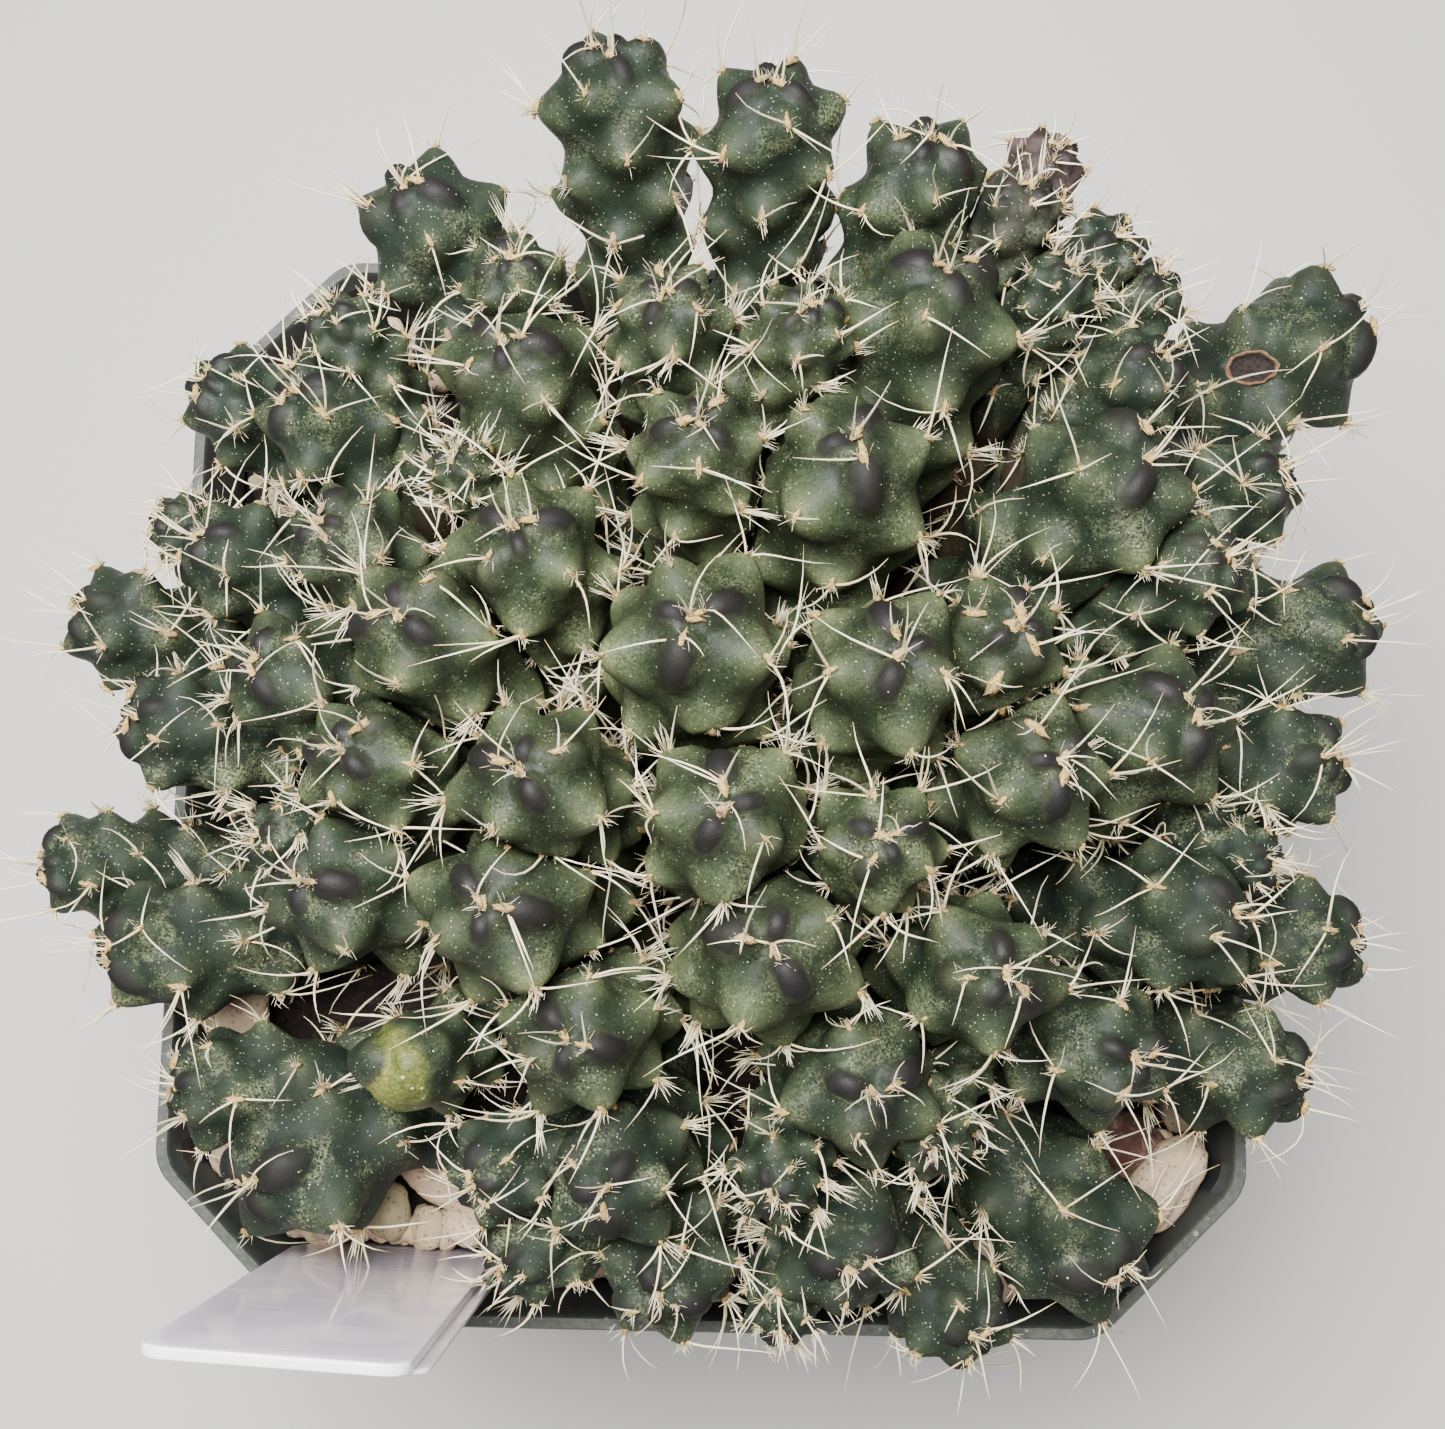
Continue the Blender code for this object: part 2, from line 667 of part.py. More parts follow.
def build_plant(heads, fixed, material):
    """One closed node for each stem: its heads and their spines, fused."""
    draw = random.Random(seed + 1)
    trees = {}
    for head in heads:
        tree = mesh_tree(head["shape"]["places"], head["shape"]["faces"])
        trees.setdefault(head["stem"], []).append(tree)
    for stem in stems:
        own = [head for head in heads if head["stem"] == stem]
        near = {head["stem"] for head in heads
                if head["stem"] != stem
                and np.linalg.norm(head["line"][0] - own[0]["line"][0]) < 55 * mm}
        obstacles = fixed + [tree for name in sorted(near) for tree in trees[name]]
        bodies, probes = [], []
        for head in own:
            body = bmesh.new()
            corners = [body.verts.new(p) for p in head["shape"]["places"]]
            for face in head["shape"]["faces"]:
                body.faces.new([corners[i] for i in face])
            bmesh.ops.recalc_face_normals(body, faces=body.faces)
            bodies.append(add_object("cactus_" + stem, body, material))
            for mesh, probe in grow_spines(head, draw, obstacles):
                bodies.append(add_object("spine", mesh))
                probes.append(probe)
        boolean_with(bodies[0], bodies[1:], "UNION")
        fill_pockets(bodies[0])
        bodies[0].data.materials.clear()
        bodies[0].data.materials.append(material)
        trees[stem] += probes


def make_soil(heads, material):
    """Soil that fills the pot, with a plain hole for each stem and a slot for the tag."""
    outline = square_outline(inner_width(pot_height - soil_drop) - 2 * clearance, 0)
    flat = [Vector((p.x, p.y)) for p in outline]
    edges = [(i, (i + 1) % len(flat)) for i in range(len(flat))]
    holes = []
    for head in heads:
        if head["branch"]:
            continue
        radius = neck_radius + socket_gap
        ring = [head["line"][-1][:2] + radius * np.array([math.cos(a), math.sin(a)])
                for a in 2 * math.pi * np.arange(stem_sides) / stem_sides]
        holes.append((ring, socket_depth + 0.2 * mm))
    slot = tag_slot(tag_half(pot_height - soil_drop + soil_relief) + clearance)
    holes.append(([np.array(p) for p in slot], pot_height - soil_drop - tag_tip + clearance))
    loops = []
    for ring, depth in holes:
        first = len(flat)
        flat += [Vector(p) for p in ring]
        loops.append((list(range(first, first + len(ring))), depth))
        edges += [(first + i, first + (i + 1) % len(ring)) for i in range(len(ring))]
    centers = [(np.mean(ring, axis=0), max(np.ptp(ring, axis=0)) / 2) for ring, _ in holes]
    steps = int(pot_width / soil_grid / 2)
    for i in range(-steps, steps + 1):
        for j in range(-steps, steps + 1):
            x, y = (i + 0.5 * (j % 2)) * soil_grid, j * soil_grid
            if outline_reach(x, y) > inner_width(pot_height - soil_drop) / 2 - 2.5 * mm:
                continue
            if all(math.hypot(x - c[0], y - c[1]) > size + 1.6 * mm for c, size in centers):
                flat.append(Vector((x, y)))
    places, _, faces, sources = delaunay_2d_cdt(flat, edges, [], 0, 1e-7)[:4]
    mesh = bmesh.new()
    top = []
    for place in places:
        top.append(mesh.verts.new((place.x, place.y, soil_height(place.x, place.y))))
    rims = [set(loop) for loop, _ in loops]
    for face in faces:
        middle = sum((places[i] for i in face), Vector((0, 0))) / 3
        if any(set(face) <= rim for rim in rims):
            continue
        mesh.faces.new([top[i] for i in face])
    for loop, depth in loops:
        level = pot_height - soil_drop - depth
        low = [mesh.verts.new((top[i].co.x, top[i].co.y, level)) for i in loop]
        for i in range(len(loop)):
            j = (i + 1) % len(loop)
            mesh.faces.new((top[loop[i]], top[loop[j]], low[j], low[i]))
        mesh.faces.new(low)
    count = len(outline)
    floor = [mesh.verts.new(p) for p in square_outline(inner_width(pot_floor) - 2 * clearance,
                                                       pot_floor + clearance)]
    for i in range(count):
        j = (i + 1) % count
        mesh.faces.new((top[i], top[j], floor[j], floor[i]))
    mesh.faces.new(floor)
    bmesh.ops.recalc_face_normals(mesh, faces=mesh.faces)
    return add_object("soil", mesh, material)


def turned(x, y):
    return Vector((x * math.cos(tag_turn) - y * math.sin(tag_turn),
                   x * math.sin(tag_turn) + y * math.cos(tag_turn)))


def tag_half(z):
    """Half the tag's width at a height."""
    share = min(1.0, (z - tag_tip) / (tag_shoulder - tag_tip))
    return (tag_tip_width + (tag_width - tag_tip_width) * share) / 2


def tag_slot(half):
    """Corners of the slot that the tag stands in, in plan."""
    deep = tag_thickness / 2 + 1.5 * clearance
    return [Vector(tag_place) + turned(x, y)
            for x, y in ((-half, -deep), (half, -deep), (half, deep), (-half, deep))]


def make_tag(material):
    """A flat tag with rounded upper corners and a narrow lower end, stood in the soil."""
    half, tip, corner = tag_width / 2, tag_tip_width / 2, tag_corner_radius
    outline = [(-tip, tag_tip), (tip, tag_tip), (half, tag_shoulder)]
    for side in (1, -1):
        for step in range(4):
            angle = math.pi / 6 * (step if side == 1 else 3 - step)
            outline.append((side * (half - corner + corner * math.cos(angle)),
                            tag_top - corner + corner * math.sin(angle)))
    outline.append((-half, tag_shoulder))
    mesh = bmesh.new()
    front = []
    for x, z in outline:
        spot = Vector(tag_place) + turned(x, -tag_thickness / 2)
        front.append(mesh.verts.new((spot.x, spot.y, z)))
    face = mesh.faces.new(front)
    depth = turned(0, tag_thickness)
    moved = bmesh.ops.extrude_face_region(mesh, geom=[face])["geom"]
    bmesh.ops.translate(mesh, verts=[v for v in moved if isinstance(v, bmesh.types.BMVert)],
                        vec=(depth.x, depth.y, 0))
    bmesh.ops.recalc_face_normals(mesh, faces=mesh.faces)
    return add_object("plant_tag", mesh, material)


def stone_mesh(x, y, z, size, draw, detail=1):
    """An uneven rounded stone from a ball, drawn in along a few random directions."""
    mesh = bmesh.new()
    bmesh.ops.create_icosphere(mesh, subdivisions=detail, radius=0.5)
    cuts = [Vector([draw.gauss(0, 1) for _ in range(3)]).normalized() for _ in range(4)]
    for vert in mesh.verts:
        unit = vert.co.normalized()
        shrink = 1 - sum(0.16 * max(0.0, unit.dot(cut)) ** 3 for cut in cuts)
        vert.co = Vector((unit.x * size[0], unit.y * size[1], unit.z * size[2])) * 0.5 * shrink
        vert.co += Vector((x, y, z))
    return mesh


def make_gravel(heads, material):
    """A ring of pumice along the wall: stones set in a thin bed, with a slot for the tag."""
    draw = random.Random(seed + 2)
    low = pot_height - soil_drop + soil_relief + clearance
    high = low + gravel_bed
    inner = inner_width(high) - 2 * gravel_band
    outer_low, outer_high = (inner_width(z) - 2 * clearance for z in (low, high))
    rings = [square_outline(inner, low), square_outline(outer_low, low),
             square_outline(outer_high, high), square_outline(inner, high)]
    mesh = bmesh.new()
    loops = [[mesh.verts.new(p) for p in ring] for ring in rings]
    for this, after in zip(loops, loops[1:] + loops[:1]):
        for i in range(len(this)):
            j = (i + 1) % len(this)
            mesh.faces.new((this[i], this[j], after[j], after[i]))
    bmesh.ops.recalc_face_normals(mesh, faces=mesh.faces)
    gravel = add_object("gravel", mesh, material)
    trees = [mesh_tree(head["shape"]["places"], head["shape"]["faces"]) for head in heads]
    wall = pot_width / 2 - rim_band_step - pot_wall - 1.2 * mm
    stones, taken = [], []

    def try_stone(x, y, size):
        for shrink in (1, 0.88, 0.76, 0.64, 0.52):
            scaled = [s * shrink for s in size]
            reach = wall - max(scaled[:2]) / 2
            while outline_reach(x, y) > reach:
                x, y = x * 0.99, y * 0.99
            if any(math.hypot(x - a, y - b) < 0.40 * (scaled[0] + s) for a, b, s in taken):
                return
            ball = stone_mesh(x, y, high + 0.1 * scaled[2], scaled, draw)
            hull = BVHTree.FromBMesh(ball)
            if any(hull.overlap(tree) for tree in trees):
                ball.free()
                continue
            taken.append((x, y, scaled[0]))
            stones.append(add_object("stone", ball))
            return

    for x, y, *size in shown_stones:
        try_stone(x * mm, y * mm, [s * mm for s in size])
    side = pot_width / 2 - 8 * mm
    for _ in range(90):
        angle = draw.uniform(0, 2 * math.pi)
        x, y = side * 1.3 * math.cos(angle), side * 1.3 * math.sin(angle)
        size = draw.uniform(*stone_size)
        if outline_reach(x, y) > side * 0.97 and len(stones) < stone_count:
            try_stone(x, y, [size, size * draw.uniform(0.7, 1), size * 0.75])
    boolean_with(gravel, stones, "UNION")
    rings = [[Vector((p.x, p.y, z)) for p in tag_slot(tag_half(z) + 2 * clearance)]
             for z in (low - 2 * mm, tag_shoulder, tag_shoulder + 5 * mm)]
    boolean_with(gravel, [add_object("slot", bridged_solid(rings))], "DIFFERENCE")
    gravel.data.materials.clear()
    gravel.data.materials.append(material)
    return gravel


def build():
    clear_scene()
    plastic = make_material("pot_plastic", (0.045, 0.047, 0.045), 0.6)
    skin = make_material("cactus_skin", (0.065, 0.105, 0.055), 0.5)
    earth = make_material("soil", (0.045, 0.030, 0.020), 0.95)
    pumice = make_material("pumice", (0.62, 0.50, 0.40), 0.9)
    film = make_material("tag_plastic", (0.60, 0.60, 0.64), 0.35, alpha=0.6)
    pot = make_pot(plastic)
    heads = plan_heads()
    for head in heads:
        head["shape"] = shape_head(head)
    pack_heads(heads)
    ease_apart(heads)
    soil = make_soil(heads, earth)
    tag = make_tag(film)
    gravel = make_gravel(heads, pumice)
    fixed = [object_tree(obj) for obj in (pot, soil, tag, gravel)]
    build_plant(heads, fixed, skin)


if __name__ == "__main__":
    build()
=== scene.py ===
import math
import random

import bmesh
import bpy
import numpy as np
from mathutils import Matrix, Vector, noise
from mathutils.bvhtree import BVHTree


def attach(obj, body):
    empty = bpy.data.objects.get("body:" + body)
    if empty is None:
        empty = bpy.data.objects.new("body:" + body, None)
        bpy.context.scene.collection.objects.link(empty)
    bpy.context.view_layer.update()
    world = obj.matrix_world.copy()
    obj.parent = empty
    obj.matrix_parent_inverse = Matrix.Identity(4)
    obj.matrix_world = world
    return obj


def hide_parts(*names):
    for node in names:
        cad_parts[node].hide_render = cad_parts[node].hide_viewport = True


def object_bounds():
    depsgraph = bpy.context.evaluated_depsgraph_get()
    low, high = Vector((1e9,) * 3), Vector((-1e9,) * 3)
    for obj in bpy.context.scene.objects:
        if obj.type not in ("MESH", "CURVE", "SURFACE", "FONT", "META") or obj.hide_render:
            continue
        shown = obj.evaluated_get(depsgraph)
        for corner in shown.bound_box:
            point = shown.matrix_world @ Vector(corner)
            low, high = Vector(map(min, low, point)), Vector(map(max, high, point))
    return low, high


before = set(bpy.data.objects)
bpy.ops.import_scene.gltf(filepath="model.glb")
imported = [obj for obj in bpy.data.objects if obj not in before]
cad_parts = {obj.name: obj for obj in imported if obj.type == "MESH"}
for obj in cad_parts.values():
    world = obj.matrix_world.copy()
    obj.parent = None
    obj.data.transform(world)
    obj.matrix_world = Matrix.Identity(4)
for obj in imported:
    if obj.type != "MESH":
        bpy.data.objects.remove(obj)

# A clump of Maihueniopsis subterranea in its square pot, seen from above.
mm = 0.001
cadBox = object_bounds()
print("frame loaded,", len(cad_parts), "nodes")

cameraSetup = {
    "place": (2.4 * mm, -19.1 * mm, 300.9 * mm),
    "tiltForward": 7.26,    # degrees off straight down
    "tiltSide": 0.3, "roll": 1.15,
    "lens": 50.0, "sensor": 36.0, "nearest": 10 * mm,
}


def placeCamera():
    data = bpy.data.cameras.new("camera")
    data.lens = cameraSetup["lens"]
    data.sensor_width = cameraSetup["sensor"]
    data.sensor_fit = "HORIZONTAL"
    data.clip_start = cameraSetup["nearest"]
    camera = bpy.data.objects.new("camera", data)
    bpy.context.scene.collection.objects.link(camera)
    turn = (Matrix.Rotation(math.radians(cameraSetup["tiltForward"]), 4, "X")
            @ Matrix.Rotation(math.radians(cameraSetup["tiltSide"]), 4, "Y")
            @ Matrix.Rotation(math.radians(cameraSetup["roll"]), 4, "Z"))
    camera.matrix_world = Matrix.Translation(cameraSetup["place"]) @ turn
    bpy.context.scene.camera = camera


def linear(hexColor):
    parts = [int(hexColor[i:i + 2], 16) / 255 for i in (1, 3, 5)]
    return [p / 12.92 if p <= 0.04045 else ((p + 0.055) / 1.055) ** 2.4 for p in parts] + [1.0]


def socketValue(value):
    return linear(value) if isinstance(value, str) else value


# settings that many nodes share
smoothly = {"interpolation_type": "SMOOTHSTEP"}
times = {"operation": "MULTIPLY"}
timesPlus = {"operation": "MULTIPLY_ADD"}
colored = {"data_type": "RGBA"}


def addNode(tree, kind, inputs=(), settings=(), stops=()):
    # adds a node with its settings, what feeds it and its ramp's stops, and gives its outputs
    node = tree.nodes.new("ShaderNode" + kind)
    for name, value in dict(settings).items():
        setattr(node, name, value)
    for name, value in (inputs.items() if isinstance(inputs, dict) else enumerate(inputs)):
        if isinstance(value, bpy.types.NodeSocket):
            tree.links.new(value, node.inputs[name])
        else:
            node.inputs[name].default_value = socketValue(value)
    if stops:
        elements = node.color_ramp.elements
        while len(elements) < len(stops):
            elements.new(0.5)
        for element, (position, color) in zip(elements, stops):
            element.position = position
            element.color = linear(color)
    return node.outputs


def newMaterial(name, sockets, clouds=(), facts=()):
    # read holds what the material's patterns go by: the place on the piece, clouds of noise (size in
    # mm, detail, roughness) and the piece's own attributes
    material = bpy.data.materials.new(name)
    material.use_nodes = True
    tree = material.node_tree
    for socket, value in sockets.items():
        tree.nodes["Principled BSDF"].inputs[socket].default_value = socketValue(value)
    read = {fact: addNode(tree, "Attribute", (), {"attribute_name": fact})["Fac"] for fact in facts}
    if clouds:
        read["place"] = addNode(tree, "TexCoord")["Object"]
    for cloud, (size, detail, roughness) in dict(clouds).items():
        read[cloud] = addNode(tree, "TexNoise", {
            "Vector": read["place"], "Scale": 1 / (size * mm), "Detail": detail,
            "Roughness": roughness})["Fac"]
    return material, tree, read


def leadToShader(tree, color, coats=(), height=None, relief=(0, 0), more=()):
    # lays coats over the colour, each by its share, raises the surface by the height, with relief as
    # strength and mm, and leads it all to the shader
    for share, coat in coats:
        color = addNode(tree, "Mix", {0: share, 6: color, 7: coat}, colored)[2]
    leads = {"Base Color": color, **dict(more)}
    if height is not None:
        leads["Normal"] = addNode(tree, "Bump", {
            "Strength": relief[0], "Distance": relief[1] * mm, "Height": height})["Normal"]
    for socket, output in leads.items():
        tree.links.new(output, tree.nodes["Principled BSDF"].inputs[socket])


def speckLayer(tree, place, spacing, radius, share):
    # dots spacing mm apart, with their radius in shares of that, on that share of the cells
    cells = addNode(tree, "TexVoronoi", {"Vector": place, "Scale": 1 / (spacing * mm)})
    chance = addNode(tree, "SeparateColor", [cells["Color"]])
    # each dot is from 0.6 to 1.6 times as large, with a soft edge
    reach = addNode(tree, "Math", [chance["Green"], radius, radius * 0.6], timesPlus)[0]
    near = addNode(tree, "Math", [cells["Distance"], reach], {"operation": "DIVIDE"})[0]
    dot = addNode(tree, "MapRange", [near, 1.0, 0.6], smoothly)[0]
    shown = addNode(tree, "Math", [chance["Red"], share], {"operation": "LESS_THAN"})[0]
    return addNode(tree, "Math", [dot, shown], times)[0]


# Smooth waxy skin of a living stem: satin, mottled and strewn with whitish specks of lime, with painted light
# on its tubercles, painted shade in the creases between them and on the stems at the clump's edge.
skinLook = {
    "specular": 0.22,
    # the grain is drawn coarser than the real cells so that it shows
    "clouds": {"cloud": (3.2, 4, 0.62), "grain": (0.24, 2, 0.5), "patch": (5.5, 4, 0.65)},
    # painted light and shade: swell lightens the tubercles' tops and darkens the creases between them; cloud
    # and grain mottle the skin at random
    "mottleAndPaintedShade": {"swell": 0.46, "cloud": 0.62, "grain": 0.42}, "darkest": -0.18,
    "mottledShadedGreen": [(0.10, "#0d110b"), (0.36, "#252d1d"), (0.66, "#475036"), (0.95, "#787e56")],
    "edgeShadeColor": "#17221d", "edgeShadeShare": 0.68,    # painted shade on the stems at the clump's edge
    "apexColor": "#1a1817",                         # of the young tubercles
    "corkColor": "#4b3e30", "corkShare": 0.85, "corkAge": (2.1, 3.0),   # head widths from the tip
    "dustColor": "#8f9670", "dustShare": (0.45, 0.22), "dustPatches": (0.50, 0.72), "dustGrain": (0.38, 0.60),
    # dots, specks and scabs: mm apart, radius as a share of that, and the share of places that have one
    "speckColor": "#e6e4c0",
    "dots": (0.36, 0.17, 0.7), "dotShare": 0.38, "dotCrowds": (0.36, 0.62, 0.25, 1.0),
    "specks": (0.65, 0.11), "speckShare": 0.85, "speckCount": (0.8, 0.03),
    "speckClusters": (0.46, 0.66, 0.12, 1.0),
    "brown": [(0.32, "#151010"), (0.5, "#2e2524"), (0.68, "#554743")],
    "crust": [(0.50, "#2a361b"), (0.64, "#59602a"), (0.80, "#8f874a")],
    "scabColor": "#d6c89c", "scabs": (0.9, 0.17, 0.4), "scabShare": 0.7,
    "relief": (0.45, 0.22), "grainRelief": 0.35, "speckRelief": 0.25,
    "satin": (0.3, 0.7, 0.42, 0.62), "dustMatt": 0.2, "youngMatt": 0.03,
}


def skinMaterial():
    look = skinLook
    material, tree, read = newMaterial(
        "waxyCactusSkin", {"Specular IOR Level": look["specular"]}, look["clouds"],
        ("swell", "age", "outer", "dust", "dead", "damaged", "bean"))
    place, cloud, grain, patch = (read[key] for key in ("place", "cloud", "grain", "patch"))
    # the colour's lightness: random clouds and grain, plus painted light on the tubercles' tops and painted
    # shade in the creases (swell)
    level = look["darkest"]
    for name, weight in look["mottleAndPaintedShade"].items():
        level = addNode(tree, "Math", [read[name], weight, level], timesPlus)[0]
    mottledShadedGreen = addNode(tree, "ValToRGB", [level], (), look["mottledShadedGreen"])[0]
    # painted shade: stems towards the clump's edge are mixed towards a darker colour, as though less light
    # reached them
    edgeShaded = addNode(tree, "Mix", {0: look["edgeShadeShare"], 6: mottledShadedGreen, 7: look["edgeShadeColor"]}, colored)[2]
    cork = addNode(tree, "MapRange", [read["age"], *look["corkAge"], 0.0, look["corkShare"]], smoothly)[0]
    grown = addNode(tree, "MapRange", [read["bean"], 0.6, 0.1], smoothly)[0]
    # dust lies in grainy patches, and not on the young tubercles
    dusty = addNode(tree, "MapRange", [patch, *look["dustPatches"]], smoothly)[0]
    grainy = addNode(tree, "MapRange", [grain, *look["dustGrain"]], smoothly)[0]
    dust = addNode(tree, "Math", [read["dust"], *look["dustShare"]], timesPlus)[0]
    for factor in (grainy, dust, grown):
        dusty = addNode(tree, "Math", [dusty, factor], times)[0]
    # fine dots everywhere, and larger specks in clusters, more of them on a dusty stem
    crowd = addNode(tree, "MapRange", [cloud, *look["dotCrowds"]], smoothly)[0]
    *size, count = look["dots"]
    dots = speckLayer(tree, place, *size, addNode(tree, "Math", [crowd, count], times)[0])
    faint = addNode(tree, "Math", [grown, look["dotShare"]], times)[0]
    dots = addNode(tree, "Math", [dots, faint], times)[0]
    cluster = addNode(tree, "MapRange", [patch, *look["speckClusters"]], smoothly)[0]
    count = addNode(tree, "Math", [read["dust"], *look["speckCount"]], timesPlus)[0]
    specks = speckLayer(tree, place, *look["specks"], addNode(tree, "Math", [cluster, count], times)[0])
    brown = addNode(tree, "ValToRGB", [cloud], (), look["brown"])[0]
    flaky = addNode(tree, "Math", [grain, look["grainRelief"], patch], timesPlus)[0]
    crust = addNode(tree, "ValToRGB", [flaky], (), look["crust"])[0]
    scabs = addNode(tree, "Math", [speckLayer(tree, place, *look["scabs"]), look["scabShare"]], times)[0]
    crust = addNode(tree, "Mix", {0: scabs, 6: crust, 7: look["scabColor"]}, colored)[2]
    coats = [(read["outer"], edgeShaded), (read["bean"], look["apexColor"]), (cork, look["corkColor"]),
             (dusty, look["dustColor"]), (dots, look["speckColor"]),
             (addNode(tree, "Math", [specks, look["speckShare"]], times)[0], look["speckColor"]),
             (read["dead"], brown), (read["damaged"], crust)]
    height = addNode(tree, "Math", [grain, look["grainRelief"], cloud], timesPlus)[0]
    height = addNode(tree, "Math", [specks, look["speckRelief"], height], timesPlus)[0]
    # dusty stems are duller than clean ones
    matt = addNode(tree, "MapRange", [cloud, *look["satin"]], smoothly)[0]
    matt = addNode(tree, "Math", [read["dust"], look["dustMatt"], matt], timesPlus)[0]
    matt = addNode(tree, "Math", [read["bean"], look["youngMatt"], matt], timesPlus)[0]
    leadToShader(tree, mottledShadedGreen, coats, height, look["relief"], {"Roughness": matt})
    return material


# Horn-like spines: ivory and slightly glossy, tan where they leave the wool.
spineLook = {
    "roughness": 0.45,
    "ivory": [(0.0, "#c08f48"), (0.15, "#f1dca6"), (0.8, "#fdf4d6"), (1.0, "#dcb877")],
    "weathered": "#9a8f7c",
}


def spineMaterial():
    material, tree, read = newMaterial(
        "ivorySpine", {"Roughness": spineLook["roughness"]}, (), ("along", "pale"))
    ivory = addNode(tree, "ValToRGB", [read["along"]], (), spineLook["ivory"])[0]
    leadToShader(tree, ivory, [(read["pale"], spineLook["weathered"])])
    return material


# Felt of short hairs: matt, cream when young and brown-grey when old.
woolLook = {
    "roughness": 0.95, "clouds": {"fibre": (0.22, 3, 0.7)}, "relief": (0.9, 0.2),
    "young": [(0.3, "#7d5c2c"), (0.5, "#bd9a58"), (0.7, "#e8d39c")],
    "aged": [(0.3, "#6a543c"), (0.7, "#b39a78")],
}


def woolMaterial():
    material, tree, read = newMaterial(
        "areoleFelt", {"Roughness": woolLook["roughness"]}, woolLook["clouds"], ("old",))
    young, aged = (addNode(tree, "ValToRGB", [read["fibre"]], (), woolLook[key])[0]
                   for key in ("young", "aged"))
    leadToShader(tree, young, [(read["old"], aged)], read["fibre"], woolLook["relief"])
    return material


# Moulded polypropylene, matt black-grey, with dried water marks and soil dust on the rim.
potLook = {
    "roughness": 0.55, "clouds": {"cloud": (9, 5, 0.65), "grain": (0.6, 3, 0.5)}, "relief": (0.25, 0.15),
    "plastic": "#141616", "worn": "#1f2120", "dust": "#4a4e43", "splash": "#8f9183",
    "dustLevels": (0.45, 1.0, 0.25, 0.85), "rimDust": (0.85, 0.12),
    "splashes": (1.3, 0.16, 0.45), "splashShare": 0.6,
}


def potMaterial():
    material, tree, read = newMaterial(
        "mouldedPolypropylene", {"Roughness": potLook["roughness"]}, potLook["clouds"], ("rim",))
    dust = addNode(tree, "Math", [read["cloud"], 0.5, read["grain"]], timesPlus)[0]
    dust = addNode(tree, "MapRange", [dust, *potLook["dustLevels"]], smoothly)[0]
    onRim = addNode(tree, "Math", [read["rim"], *potLook["rimDust"]], timesPlus)[0]
    dust = addNode(tree, "Math", [dust, onRim], times)[0]
    splashes = speckLayer(tree, read["place"], *potLook["splashes"])
    for factor in (read["rim"], potLook["splashShare"]):
        splashes = addNode(tree, "Math", [splashes, factor], times)[0]
    coats = [(read["cloud"], potLook["worn"]), (dust, potLook["dust"]), (splashes, potLook["splash"])]
    leadToShader(tree, potLook["plastic"], coats, read["grain"], potLook["relief"])
    return material


# Peat and loam: dark, crumbly and without any gloss.
soilLook = {
    "roughness": 1.0, "clouds": {"crumb": (1.4, 6, 0.7)}, "relief": (1.0, 0.6),
    "earth": [(0.3, "#0f0b09"), (0.5, "#241b16"), (0.72, "#43362c")],
}


def soilMaterial():
    material, tree, read = newMaterial("peatSoil", {"Roughness": soilLook["roughness"]}, soilLook["clouds"])
    earth = addNode(tree, "ValToRGB", [read["crumb"]], (), soilLook["earth"])[0]
    leadToShader(tree, earth, (), read["crumb"], soilLook["relief"])
    return material


# Pumice: volcanic froth, matt, cream to pink, with fine pores, darkened with painted shade.
pumiceLook = {
    "roughness": 0.9, "clouds": {"stain": (2.2, 5, 0.7)}, "relief": (0.8, 0.45), "poreRelief": 0.5,
    "tones": [(0.0, "#c6b092"), (0.3, "#bb9f86"), (0.55, "#ada07c"), (0.75, "#8a7f64"),
              (0.88, "#8a7466"), (1.0, "#4a2c28")],
    "stainColor": "#a5896f", "stains": (0.45, 0.75, 0.0, 0.55),
    "poreShadeColor": "#6b5444", "poreSize": 0.7, "pores": (0.05, 0.30), "poreShadeShare": 0.35,
}


def pumiceMaterial():
    look = pumiceLook
    material, tree, read = newMaterial(
        "washedPumice", {"Roughness": look["roughness"]}, look["clouds"], ("tone",))
    stone = addNode(tree, "ValToRGB", [read["tone"]], (), look["tones"])[0]
    stained = addNode(tree, "MapRange", [read["stain"], *look["stains"]], smoothly)[0]
    pores = addNode(tree, "TexVoronoi", {"Vector": read["place"], "Scale": 1 / (look["poreSize"] * mm)})
    level = addNode(tree, "MapRange", [pores["Distance"], *look["pores"]], smoothly)[0]
    # painted shade: the pores, sunk only by the bump, are coloured darker
    pits = addNode(tree, "Math", [level, -look["poreShadeShare"], look["poreShadeShare"]], timesPlus)[0]
    height = addNode(tree, "Math", [level, look["poreRelief"], read["stain"]], timesPlus)[0]
    coats = [(stained, look["stainColor"]), (pits, look["poreShadeColor"])]
    leadToShader(tree, stone, coats, height, look["relief"])
    return material


# Clear polypropylene sheet gone milky: it mirrors what stands before it, has faint rub marks, and
# is whiter at its cut edges. Its near-white, lavender-tinged colour is partly painted light, for light
# shining through the sheet from behind.
tagLook = {
    "specular": 0.4, "clouds": {"haze": (9, 3, 0.5)}, "gloss": 0.09,
    "milkiness": (0.35, 0.65), "solid": (0.3, 0.7, 0.90, 0.96),     # haze from and to, opacity from and to
    "rubSize": 0.8, "rubStretch": 0.08, "rubs": (0.60, 0.72), "rubShare": 0.35, "rubMatt": 0.20,
    # partly painted light: the clear colour is lifted to a pale lavender-white, standing for light that
    # shines through the sheet from behind
    "clear": "#efe4f6", "milky": "#fff7ff", "rubbed": "#ffffff", "edge": "#fbfafc",
}


